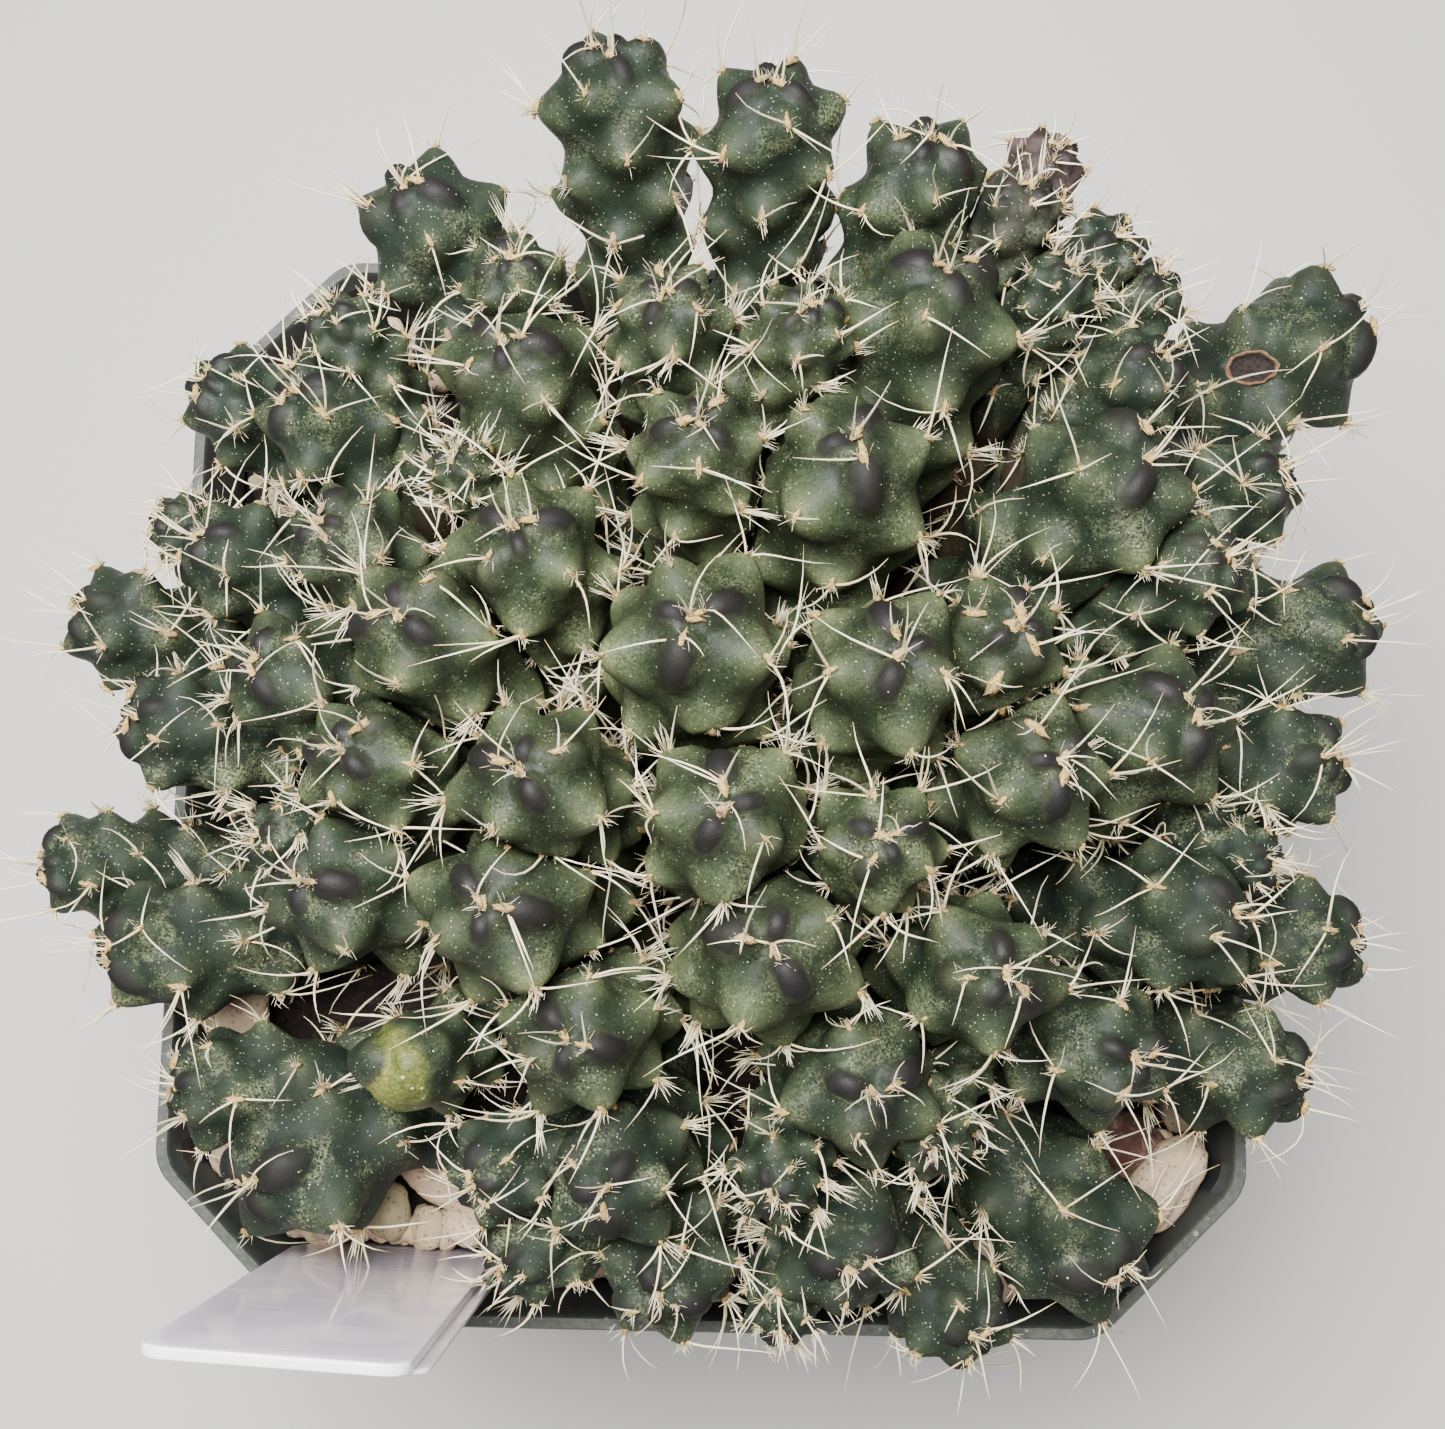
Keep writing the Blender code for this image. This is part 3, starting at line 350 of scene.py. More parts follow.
def tagMaterial():
    look = tagLook
    material, tree, read = newMaterial(
        "frostedSheet", {"Specular IOR Level": look["specular"]}, look["clouds"], ("edge",))
    # rub marks run across the sheet, so the pattern is drawn out sideways
    parts = addNode(tree, "SeparateXYZ", [read["place"]])
    across = addNode(tree, "Math", [parts["X"], look["rubStretch"]], times)[0]
    drawn = addNode(tree, "CombineXYZ", [across, parts["Y"], parts["Z"]])[0]
    marks = addNode(tree, "TexNoise", {
        "Vector": drawn, "Scale": 1 / (look["rubSize"] * mm), "Detail": 3})["Fac"]
    marks = addNode(tree, "MapRange", [marks, *look["rubs"]], smoothly)[0]
    milky = addNode(tree, "MapRange", [read["haze"], *look["milkiness"]], smoothly)[0]
    rubbed = addNode(tree, "Math", [marks, look["rubShare"]], times)[0]
    matt = addNode(tree, "Math", [marks, look["rubMatt"], look["gloss"]], timesPlus)[0]
    solid = addNode(tree, "MapRange", [read["haze"], *look["solid"]], smoothly)[0]
    solid = addNode(tree, "Math", [read["edge"], solid], {"operation": "MAXIMUM"})[0]
    coats = [(milky, look["milky"]), (rubbed, look["rubbed"]), (read["edge"], look["edge"])]
    leadToShader(tree, look["clear"], coats, more={"Roughness": matt, "Alpha": solid})
    return material


def linked(name, mesh, material):
    obj = bpy.data.objects.new(name, mesh)
    bpy.context.scene.collection.objects.link(obj)
    mesh.materials.append(material)
    return obj


def handOver(piece, node=None):
    # every piece rides on the part's one body, and some stand for a solid of the frame
    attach(piece, "root")
    if node:
        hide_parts(node)


def meshFromBmesh(name, bm, smooth=True):
    bmesh.ops.recalc_face_normals(bm, faces=bm.faces)
    mesh = bpy.data.meshes.new(name)
    bm.to_mesh(mesh)
    bm.free()
    if smooth:
        mesh.shade_smooth()
    return mesh


def movedVerts(extruded):
    return [g for g in extruded["geom"] if isinstance(g, bmesh.types.BMVert)]


def setFact(mesh, fact, values):
    mesh.attributes.new(fact, "FLOAT", "POINT").data.foreach_set("value", values)


def shapeOf(bm):
    # the corners and triangles of a bmesh, to repeat it elsewhere
    bmesh.ops.triangulate(bm, faces=bm.faces)
    bmesh.ops.recalc_face_normals(bm, faces=bm.faces)
    corners = np.array([v.co for v in bm.verts])
    triangles = np.array([[v.index for v in f.verts] for f in bm.faces])
    bm.free()
    return corners, triangles


def ballShape(subdivisions, radius=1):
    bm = bmesh.new()
    bmesh.ops.create_icosphere(bm, subdivisions=subdivisions, radius=radius)
    return shapeOf(bm)


def repeatedFaces(triangles, count, corners):
    return (triangles[None] + (np.arange(count) * corners)[:, None, None]).reshape(-1, 3)


def repeated(name, triangles, copies, facts):
    # one mesh of many copies of a shape; facts holds a value for each corner of each copy
    count, corners = copies.shape[:2]
    faces = repeatedFaces(triangles, count, corners)
    mesh = bpy.data.meshes.new(name)
    mesh.vertices.add(count * corners)
    mesh.vertices.foreach_set("co", copies.reshape(-1).astype(np.float32))
    mesh.loops.add(faces.size)
    mesh.loops.foreach_set("vertex_index", faces.reshape(-1))
    mesh.polygons.add(len(faces))
    mesh.polygons.foreach_set("loop_start", np.arange(0, faces.size, 3))
    mesh.update(calc_edges=True)
    for fact, values in facts.items():
        setFact(mesh, fact, np.broadcast_to(values, (count, corners)).reshape(-1).astype(np.float32))
    mesh.shade_smooth()
    return mesh


def smoothStep(value, start, end):
    share = np.clip((value - start) / (end - start), 0.0, 1.0)
    return share * share * (3 - 2 * share)


def unit(vector):
    return vector / max(np.linalg.norm(vector), 1e-9)


def unitRows(rows):
    return rows / np.linalg.norm(rows, axis=1)[:, None]


def scatter(draw, spread):
    return np.array([draw.gauss(0, spread) for _ in range(3)])


# Every stem with its heads: the growing tip's place in plan and the width over the tubercles,
# in mm, as the solids have them. The first head of a stem is its own end.
stems = {
    "back_left_tall": [(-10, 63, 13.5)],
    "back_middle_tall": [(5, 59, 13)],
    "back_right": [(19, 54, 13)],
    "back_withered": [(31, 56, 8.5), (28, 51, 9)],
    "back_corner": [(37, 48, 10), (32, 44, 8)],
    "right_upper_pair": [(41, 37, 11), (41, 45, 9)],
    "right_scarred": [(63, 46, 16)],
    "right_upper_edge": [(54, 29, 11.5)],
    "right_upper_broad": [(39, 27, 16)],
    "upper_broad": [(20, 41, 16)],
    "middle_highest": [(12, 25, 15.5)],
    "upper_middle_pair": [(-4, 38, 11), (8, 37, 9.5)],
    "back_left_pair": [(-28, 50, 14), (-18, 42, 9.5)],
    "left_upper_pair": [(-38, 32, 13), (-35, 39, 9)],
    "left_upper_edge": [(-48, 35, 11)],
    "upper_left": [(-18, 34, 14)],
    "upper_middle": [(-1, 26, 12)],
    "left_inner_pair": [(-16, 17, 13.5), (-22, 24, 6.5)],
    "left_inner": [(-34, 19, 11)],
    "left_edge_pair": [(-47, 19, 12), (-52, 22, 7.5)],
    "left_edge_long": [(-61, 14, 12)],
    "left_middle": [(-40, 7, 12.5)],
    "left_center": [(-26, 10, 14.5)],
    "left_edge_low": [(-53, 3, 12)],
    "left_lower_pair": [(-31, -1, 12.5), (-39, -8, 8.5)],
    "center_left": [(-15, -3, 14)],
    "left_front_edge": [(-64, -10, 11)],
    "left_front_inner": [(-35, -12, 14.5)],
    "front_left_broad": [(-18, -14, 15.5)],
    "left_front_outer": [(-56, -18, 13.5)],
    "center": [(-1, 9, 15.5)],
    "center_right": [(16, 7, 14.5)],
    "woolly": [(26, 10, 11.5)],
    "center_front": [(2, -6, 14.5)],
    "center_front_right": [(15, -8, 11.5)],
    "right_inner": [(30, -1, 13.5)],
    "right_middle": [(43, 4, 15)],
    "right_middle_upper": [(47, 19, 11)],
    "right_edge_upper": [(63, 16, 14)],
    "right_edge_pair": [(59, 2, 13), (52, -8, 8)],
    "right_front_broad": [(48, -13, 14)],
    "right_edge_lower": [(62, -15, 13)],
    "front_right_inner": [(26, -19, 14)],
    "front_broad": [(6, -17, 16)],
    "front_left_inner": [(-11, -25, 14)],
    "front_left_damaged": [(-27, -28, 10.5)],
    "front_left_corner": [(-42, -39, 17), (-49, -31, 12)],
    "front_left_pair": [(-8, -38, 14), (-19, -38, 11)],
    "front_pair": [(15, -29, 14.5), (7, -38, 9)],
    "front_edge_pair": [(-3, -48, 13), (-17, -46, 10)],
    "front_right_pair": [(14, -45, 14), (8, -51, 8)],
    "front_edge_right": [(26, -52, 12)],
    "front_right_upper": [(39, -26, 13.5), (21, -34, 8)],
    "right_front_edge": [(57, -28, 13)],
    "front_right_corner": [(40, -45, 16.5)],
}

potShape = {
    "width": 110 * mm, "baseWidth": 84 * mm, "height": 95 * mm, "cornerCut": 15 * mm,
    "cornerRadius": 5 * mm, "wall": 1.2 * mm, "floor": 1.6 * mm, "bandHeight": 9 * mm, "bandStep": 1.0 * mm,
    "rimTop": 1.2 * mm, "holeRadius": 4 * mm, "holeReach": 26 * mm,
}
ground = {"drop": 10.5 * mm, "relief": 1.1 * mm, "socketDepth": 3.0 * mm, "clearance": 0.3 * mm}
clump = {
    "seed": 11,
    # the dome that the tips lie on, and its step up at the back
    "center": (1 * mm, 9 * mm), "radius": 76 * mm, "edgeRise": 6 * mm, "domeRise": 40 * mm, "domePower": 1.3,
    "backRise": 12 * mm, "back": (25 * mm, 65 * mm),
    # where the stems stand, how they lean and how they bend on the way
    "soilCenter": (1 * mm, 3 * mm), "spread": 0.64, "socketLimit": 38.5 * mm,
    "leanCenter": (2 * mm, -30 * mm), "sideReach": 62 * mm, "sidePower": 1.6, "depthReach": 230 * mm,
    "bends": (0.42, 0.55), "branchAt": 0.55, "axisSteps": 40,
    # a head's body and its tubercles, in shares of its width, and where they end above the root
    "coreShare": 0.39, "lobeShare": 0.165, "neckRadius": 2.3 * mm, "branchNeck": 0.2,
    "neck": (11 * mm, 4.5 * mm), "lobesEnd": (17 * mm, 10 * mm), "waist": 0.20, "waistLength": 3 * mm,
    "waistAt": 1.5, "slimmer": 0.05, "slimmerFrom": (1.4, 1.8),     # head widths from the tip
    "usualWidth": 14 * mm,          # of the head that the sizes in mm are given for
    "packGap": 0.08, "leastShare": 0.4, "packSteps": 7, "nearby": 34 * mm,      # where heads press together
    "samples": 26, "lobesFelt": 0.8,        # of a head, for its neighbours
    "rimSlope": 2, "rimMargin": 5 * mm, "rimGap": 0.7 * mm,     # how heads keep off the pot's rim
}
goldenAngle = math.pi * (3 - math.sqrt(5))


def domeHeight(x, y):
    out = math.hypot(x - clump["center"][0], y - clump["center"][1]) / clump["radius"]
    back = clump["backRise"] * smoothStep(y, *clump["back"])
    return (potShape["height"] + clump["edgeRise"] + back
            + clump["domeRise"] * max(0.0, 1 - out * out) ** clump["domePower"])


def outlineReach(x, y):
    corner = (abs(x) + abs(y)) / (2 - 2 * potShape["cornerCut"] / potShape["width"])
    return np.maximum(np.maximum(abs(x), abs(y)), corner)


def growAxis(tip, root, width, twist):
    aside, behind = tip[0] - clump["leanCenter"][0], tip[1] - clump["leanCenter"][1]
    lean = math.copysign((abs(aside) / clump["sideReach"]) ** clump["sidePower"], aside)
    heading = unit(np.array([lean, behind / clump["depthReach"], 1.0]))
    span = np.linalg.norm(tip - root)
    steps = np.linspace(0, 1, clump["axisSteps"] + 1)[:, None]
    first, last = clump["bends"]
    a, b, c, d = tip, tip - heading * first * span, root + np.array([0, 0, last * span]), root
    line = ((1 - steps) ** 3 * a + 3 * (1 - steps) ** 2 * steps * b
            + 3 * (1 - steps) * steps ** 2 * c + steps ** 3 * d)
    along = np.concatenate([[0], np.cumsum(np.linalg.norm(np.diff(line, axis=0), axis=1))])
    down = unitRows(np.gradient(line, along, axis=0))
    side = np.cross(down[0], [math.cos(twist), math.sin(twist), 0.2])
    sides = []
    for direction in down:
        side = unit(side - direction * np.dot(side, direction))
        sides.append(side)
    sides = np.array(sides)
    return {"line": line, "along": along, "down": down, "side": sides,
            "other": np.cross(down, sides), "length": along[-1], "width": width}


def alongAxis(head, distance, key):
    return np.stack([np.interp(distance, head["along"], head[key][:, i]) for i in range(3)], axis=-1)


def capRadius(head):
    return clump["coreShare"] * head["width"]


def sizeShare(head):
    return head["width"] / clump["usualWidth"]


def fromRoot(head, distance, key):
    start, end = clump[key]
    return smoothStep(distance, head["length"] - start, head["length"] - end)


def coreRadius(head, distance):
    width, neck = head["width"], fromRoot(head, distance, "neck")
    waist = np.exp(-((distance - clump["waistAt"] * width) / clump["waistLength"]) ** 2)
    waist = 1 - clump["waist"] * waist
    lower = 1 - clump["slimmer"] * smoothStep(distance, *(at * width for at in clump["slimmerFrom"]))
    return clump["coreShare"] * width * waist * lower * (1 - neck) + head["neck"] * neck


def lobeHeight(head, distance):
    return clump["lobeShare"] * head["width"] * (1 - fromRoot(head, distance, "lobesEnd"))


def surfacePlace(head, reach, turn):
    # reach is the way over the round cap from the tip and down the side, turn the angle round the axis
    cap = capRadius(head)
    quarter = cap * math.pi / 2
    angle = np.minimum(reach / cap, math.pi / 2)
    distance = np.where(reach < quarter, cap * (1 - np.cos(angle)), cap + reach - quarter)
    deep = np.maximum(distance, cap)
    middle, down, side, other = (alongAxis(head, deep, key) for key in ("line", "down", "side", "other"))
    ring = side * np.cos(turn)[:, None] + other * np.sin(turn)[:, None]
    outward = ring * np.sin(angle)[:, None] - down * np.cos(angle)[:, None]
    radius = np.where(reach < quarter, cap, coreRadius(head, distance))
    return distance, middle, outward, radius, down


# How tubercles sit and swell: a golden-angle spiral of cones, with beans round the growing tip.
tubercles = {
    "room": (10, 46), "growth": (1 * mm, 9 * mm),   # square mm for a young and for a grown one
    "step": 0.05 * mm, "first": 0.6, "width": 4.3 * mm, "sizePower": 0.6, "widthPower": 0.85,
    "young": (0.23, 0.37),          # head widths from the tip
    "beanLength": 0.34, "beanWidth": 0.5, "beanReach": 0.74, "beanPower": 0.6, "youngSwell": (0.12, 0.55),
    "valley": 0.14, "smallest": 0.35, "heightPower": 0.4,
    "coneReach": 0.47, "conePower": 1.3, "coneTip": 0.11, "wobble": 0.07, "wobbleSize": 2.2 * mm,
    "tipDip": 0.30, "tipWidth": 1.0 * mm, "rise": 1.08, "tilt": 0.35,
    "rough": 0.45 * mm, "roughSize": 5.5 * mm,
}


def tubercleSpots(head, lastReach):
    cap = capRadius(head)
    young, grown = tubercles["room"]
    square = (mm * sizeShare(head)) ** 2
    reach, filled, spots = 0.0, 0.0, []
    step = tubercles["step"]
    while reach < lastReach:
        area = (young + (grown - young) * smoothStep(reach, *tubercles["growth"])) * square
        ring = 2 * math.pi * cap * math.sin(min(reach / cap, math.pi / 2))
        filled += ring * step / area
        reach += step
        if filled >= len(spots) + tubercles["first"]:
            size = (area / (grown * square)) ** tubercles["sizePower"]
            spots.append((reach, len(spots) * goldenAngle, size))
    return spots


def planHeads():
    draw = random.Random(clump["seed"])
    heads = []
    for stem, entries in stems.items():
        for index, (x, y, width) in enumerate(entries):
            x, y, width = x * mm, y * mm, width * mm
            tip = np.array([x, y, domeHeight(x, y)])
            if index == 0:
                spot = [clump["soilCenter"][i] + clump["spread"] * ((x, y)[i] - clump["center"][i])
                        for i in range(2)]
                inward = min(1.0, clump["socketLimit"] / outlineReach(*spot))
                depth = ground["drop"] + ground["socketDepth"] - ground["clearance"]
                root = np.array([spot[0] * inward, spot[1] * inward, potShape["height"] - depth])
            else:
                root = alongAxis(first, clump["branchAt"] * first["length"], "line")
            head = growAxis(tip, root, width, draw.uniform(0, 2 * math.pi))
            neck = clump["neckRadius"] if index == 0 else clump["branchNeck"] * width
            head.update(stem=stem, neck=neck, branch=index > 0)
            if index == 0:
                first = head
            heads.append(head)
    return heads


def outerSamples(head):
    distance = np.linspace(capRadius(head), head["length"], clump["samples"])
    reach = coreRadius(head, distance) + clump["lobesFelt"] * lobeHeight(head, distance)
    return alongAxis(head, distance, "line"), reach


def closeness(places, samples):
    points, radius = samples
    square = ((places ** 2).sum(1)[:, None] + (points ** 2).sum(1)[None] - 2 * places @ points.T)
    return (np.sqrt(np.maximum(square, 0)) / radius[None]).min(axis=1)


def packedShare(head, middles, arms, near):
    # how far each point may stand out before it presses into a neighbour, at least leastShare of it
    def pressed(share, chosen):
        places = middles[chosen] + arms[chosen] * share[:, None]
        own = closeness(places, head["samples"]) * (1 + clump["packGap"])
        beside = np.min([closeness(places, other["samples"]) for other in near], axis=0)
        return own > beside

    share = np.ones(len(middles))
    chosen = np.nonzero(pressed(share, np.arange(len(middles))))[0]
    low, high = np.full(len(chosen), clump["leastShare"]), np.ones(len(chosen))
    for _ in range(clump["packSteps"]):
        if not len(chosen):
            break
        trial = (low + high) / 2
        tight = pressed(trial, chosen)
        high = np.where(tight, trial, high)
        low = np.where(tight, low, trial)
    share[chosen] = low
    return share


# What differs from head to head, as seen in the photo.
headCare = {
    "dusty": ["front_left_corner", "right_front_edge", "right_edge_lower", "front_right_corner",
              "right_front_broad", "front_edge_pair", "front_right_pair", "front_left_pair",
              "left_front_outer", "front_edge_right", "right_edge_pair", "left_edge_low"],
    "dust": (0.6, 1.0), "clean": (0.05, 0.4),       # how dusty the dusty stems and the others are
    "dead": "back_withered", "damaged": "front_left_damaged", "woolly": "woolly",
    "outer": (18 * mm, 58 * mm),    # from the middle of the clump, over which painted shade darkens its stems
    "nub": np.array([-2.6 * mm, 0.2 * mm, 0.0]),    # from the tip of the damaged stem
    "nubWidth": 1.7 * mm, "nubHeight": 1.3 * mm, "groove": 0.2 * mm, "ridge": 0.12 * mm,
    "flat": 0.15, "flatReach": (7 * mm, 12 * mm),   # of the damaged stem's tubercles
    "bareTip": 7 * mm,                              # of the damaged stem, without areoles
    "withered": (7 * mm, 11 * mm), "deadShares": (0.95, 0.35),      # of the dead stem and its branch
    "darker": 0.15, "areoleShift": 1.7 * mm,
    "crust": (2.4 * mm, 7.4 * mm),                  # from the nub's middle, over the side towards the front
    "crustSide": (0.5, -0.85), "crustBack": 0.72, "crustShare": 0.95,
    "faces": 5,             # icosphere subdivisions of a head
    "upperShare": 0.88,     # of a head's faces lie in its upper part
    "upperReach": 2.0,      # head widths down from the tip
    "closing": 0.015,       # of its faces close it at the root
}


def headPoints(head, corners):
    # maps the corners of a ball onto a head: its pole to the tip and its other pole to the root
    cap, most = capRadius(head), headCare["upperShare"]
    quarter = cap * math.pi / 2
    lastReach = head["length"] - cap + quarter
    upper = min(headCare["upperReach"] * head["width"], 0.8 * lastReach)
    share = (1 - corners[:, 2] / np.linalg.norm(corners, axis=1)) / 2
    turn = np.arctan2(corners[:, 1], corners[:, 0])
    capArea = 2 * math.pi * cap * cap
    area = share / most * (capArea + 2 * math.pi * cap * (upper - quarter))
    onCap = cap * np.arccos(np.clip(1 - area / capArea, -1, 1))
    onSide = quarter + (area - capArea) / (2 * math.pi * cap)
    reach = np.where(area < capArea, onCap, onSide)
    below = (share - most) / (1 - headCare["closing"] - most)
    reach = np.where(below > 0, upper + below * (lastReach - upper), reach)
    closing = np.clip((1 - share) / headCare["closing"], 0.0, 1.0)
    return np.minimum(reach, lastReach), turn, closing


def spotFields(head):
    cap = capRadius(head)
    spots = tubercleSpots(head, head["length"] - clump["neck"][0] - cap + cap * math.pi / 2)
    reach, turn, size = (np.array(v) for v in zip(*spots))
    _, middle, outward, radius, _ = surfacePlace(head, reach, turn)
    base = middle + outward * radius[:, None]
    _, middle, outward, radius, _ = surfacePlace(head, reach + 0.3 * mm, turn)
    course = unitRows(middle + outward * radius[:, None] - base)
    head["spots"] = {"reach": reach, "turn": turn, "size": size, "base": base, "course": course,
                     "width": tubercles["width"] * sizeShare(head) * size ** tubercles["widthPower"],
                     "young": 1 - smoothStep(reach, *(share * head["width"] for share in tubercles["young"]))}


def noiseAt(places, size):
    return np.array([noise.noise(Vector(p) / size) for p in places])


def damagedHeight(head, height, reach, base):
    # the damaged stem's tubercles are worn down, and a dried nub sits in a shallow groove with a ridge
    flat = headCare["flat"]
    height = height * (flat + (1 - flat) * smoothStep(reach, *headCare["flatReach"]))
    nub = head["line"][0] + headCare["nub"]
    fromNub = np.linalg.norm((base - nub)[:, :2], axis=1)
    ragged = 1 + 0.25 * noiseAt(base, 1.5 * mm)
    height += headCare["nubHeight"] * np.exp(-(fromNub / headCare["nubWidth"]) ** 2)
    height -= headCare["groove"] * np.exp(-((fromNub - 2.6 * mm) / (0.5 * mm)) ** 2)
    height += headCare["ridge"] * np.exp(-((fromNub * ragged - 4.0 * mm) / (0.9 * mm)) ** 2)
    return height, fromNub


def headSurface(head, reach, turn, near):
    # where the skin lies for a way along the head from its tip and a turn round its axis
    spots, shape = head["spots"], tubercles
    distance, middle, outward, radius, down = surfacePlace(head, reach, turn)
    base = middle + outward * radius[:, None]
    apart = base[:, None] - spots["base"][None]
    course = (apart * spots["course"][None]).sum(axis=2)
    square = np.maximum((apart ** 2).sum(axis=2) - course ** 2, 0)
    young = spots["young"][None]
    # young tubercles are beans that point away from the tip
    gap = np.sqrt((course * (1 - shape["beanLength"] * young)) ** 2
                  + square * (1 + shape["beanWidth"] * young)) / spots["width"][None]
    wobble = shape["wobble"] * noiseAt(base, shape["wobbleSize"])
    gap = np.maximum(gap + wobble[:, None] * np.minimum(gap, 1), 0)
    tip = shape["coneTip"]
    cone = np.exp(-((np.sqrt(gap * gap + tip * tip) - tip) / shape["coneReach"]) ** shape["conePower"])
    bean = np.maximum(1 - (gap / shape["beanReach"]) ** 2, 0) ** shape["beanPower"]
    each = (cone * (1 - young) + bean * young) * spots["size"][None] ** shape["heightPower"]
    joined = (each ** 4).sum(axis=1) ** 0.25       # the nearest counts most, with a rounded valley between
    swell = np.clip((joined - shape["valley"]) / (1 - shape["valley"]), -0.1, 1.1)
    nearest = gap.argmin(axis=1)
    sunken = np.exp(-(reach / shape["tipWidth"]) ** 2) * shape["tipDip"]
    local = shape["smallest"] + (1 - shape["smallest"]) * spots["size"][nearest]
    height = shape["rise"] * lobeHeight(head, distance) * (swell * local - sunken)
    fromNub = np.zeros(len(base))
    if head["stem"] == headCare["damaged"]:
        height, fromNub = damagedHeight(head, height, reach, base)
    if head["stem"] == wound["stem"]:
        height -= wound["dent"] * (1 - smoothStep(woundReach(base), 0.55, 0.95))
    raised = unitRows(outward - down * shape["tilt"] * np.clip(swell, 0, 1)[:, None])
    rough = noiseAt(base, shape["roughSize"]) * shape["rough"] * sizeShare(head)
    arms = outward * (radius + rough)[:, None] + raised * height[:, None]
    share = packedShare(head, middle, arms, near)
    return {"middle": middle, "arms": arms, "share": share, "swell": np.clip(swell, 0, 1), "raised": raised,
            "fromNub": fromNub, "up": -down,
            "young": spots["young"][nearest] * smoothStep(swell, *shape["youngSwell"])}


# A healed wound on the stem at the upper right: a tan corky rim round a dark pitted hollow.
wound = {
    "stem": "right_scarred",
    "place": (52.6 * mm, 40.6 * mm),    # its middle in plan
    "size": (2.5 * mm, 1.6 * mm),       # half its length and width in plan
    "turn": math.radians(-8),
    "dent": 1.3 * mm,                   # how far the skin gives way under the hollow
    "rim": 0.26 * mm,                   # height of the rim over the skin
    "hollow": 0.6 * mm, "lumps": 0.1 * mm, "lumpSize": 0.5 * mm, "tucked": 0.3 * mm, "ragged": 0.16,
    "outside": 1.12,                    # where the skin round it is felt for, in shares of its size
    "rings": (0.94, 0.90, 0.93, 0.93, 0.90, 0.88, 0.80),    # each ring's width as a share of the last
    # cork: matt, dry, tan where it has healed and dark inside, with painted shade in its pits
    "roughness": 0.9, "clouds": {"grain": (0.45, 4, 0.6)}, "relief": (0.8, 0.15), "healed": (0.35, 0.65),
    "pitSize": 0.42, "pits": (0.26, 0.42), "pitRelief": 0.4,
    "rimColors": ("#6f5139", "#94704f"), "pitShadeColor": "#0b0706", "hollowColor": "#241914",
}


def woundReach(places):
    # 1 on the wound's outline as seen from above, less inside it
    x, y = places[:, 0] - wound["place"][0], places[:, 1] - wound["place"][1]
    turn = wound["turn"]
    return np.hypot((x * math.cos(turn) + y * math.sin(turn)) / wound["size"][0],
                    (y * math.cos(turn) - x * math.sin(turn)) / wound["size"][1])


def keepOffRim(places):
    inside = potShape["width"] / 2 - clump["rimMargin"] - outlineReach(places[:, 0], places[:, 1])
    slope = clump["rimSlope"] * np.maximum(0.0, inside)
    places[:, 2] = np.maximum(places[:, 2], potShape["height"] + clump["rimGap"] - slope)
    return places


def crustShare(fromNub, places, head):
    # the dry crust lies round the nub and reaches furthest towards the front right
    offset = places[:, :2] - (head["line"][0] + headCare["nub"])[:2]
    side, back = headCare["crustSide"], headCare["crustBack"]
    toFront = (offset[:, 0] * side[0] + offset[:, 1] * side[1]) / np.maximum(fromNub, 1e-6)
    low, high = headCare["crust"]
    outer = high * (back + (1 - back) * np.clip(toFront, -1, 1))
    inner = headCare["crustShare"] * smoothStep(fromNub, low * 0.8, low)
    return inner * (1 - smoothStep(fromNub, outer * 0.75, outer))


def shapeHead(head, corners, near, draw):
    spotFields(head)
    reach, turn, closing = headPoints(head, corners)
    skin = headSurface(head, reach, turn, near)
    places = keepOffRim(skin["middle"] + skin["arms"] * (skin["share"] * closing)[:, None])
    away = math.hypot(head["line"][0][0], head["line"][0][1] - clump["center"][1])
    damaged = head["stem"] == headCare["damaged"]
    withered = headCare["deadShares"][head["branch"]] * (1 - smoothStep(reach, *headCare["withered"]))
    darker = draw.uniform(-headCare["darker"], headCare["darker"])
    facts = {
        # swell also gives the skin its painted light on the tubercles' tops and painted shade in the creases
        "swell": skin["swell"], "age": reach / head["width"], "bean": 0.0 if damaged else skin["young"],
        # outer: a random darker or lighter tone for each stem, plus painted shade that deepens towards the
        # clump's edge
        "outer": darker + smoothStep(away, *headCare["outer"]),
        "dust": draw.uniform(*headCare["dust" if head["stem"] in headCare["dusty"] else "clean"]),
        "dead": withered if head["stem"] == headCare["dead"] else 0.0,
        "damaged": crustShare(skin["fromNub"], places, head) if damaged else 0.0,
    }
    # an areole crowns each tubercle; the youngest lie on the side towards the tip
    spots = head["spots"]
    inward = headCare["areoleShift"] * sizeShare(head) * spots["young"]
    at = headSurface(head, np.maximum(spots["reach"] - inward, 0.25 * mm), spots["turn"], near)
    crowns = at["middle"] + at["arms"] * at["share"][:, None]
    head["areoles"] = [
        {"place": crowns[i], "out": at["raised"][i], "up": at["up"][i], "free": at["share"][i],
         "age": spots["reach"][i] / head["width"], "size": float(spots["size"][i]),
         "lost": damaged and spots["reach"][i] < headCare["bareTip"]}
        for i in range(len(crowns))]
    return places, facts


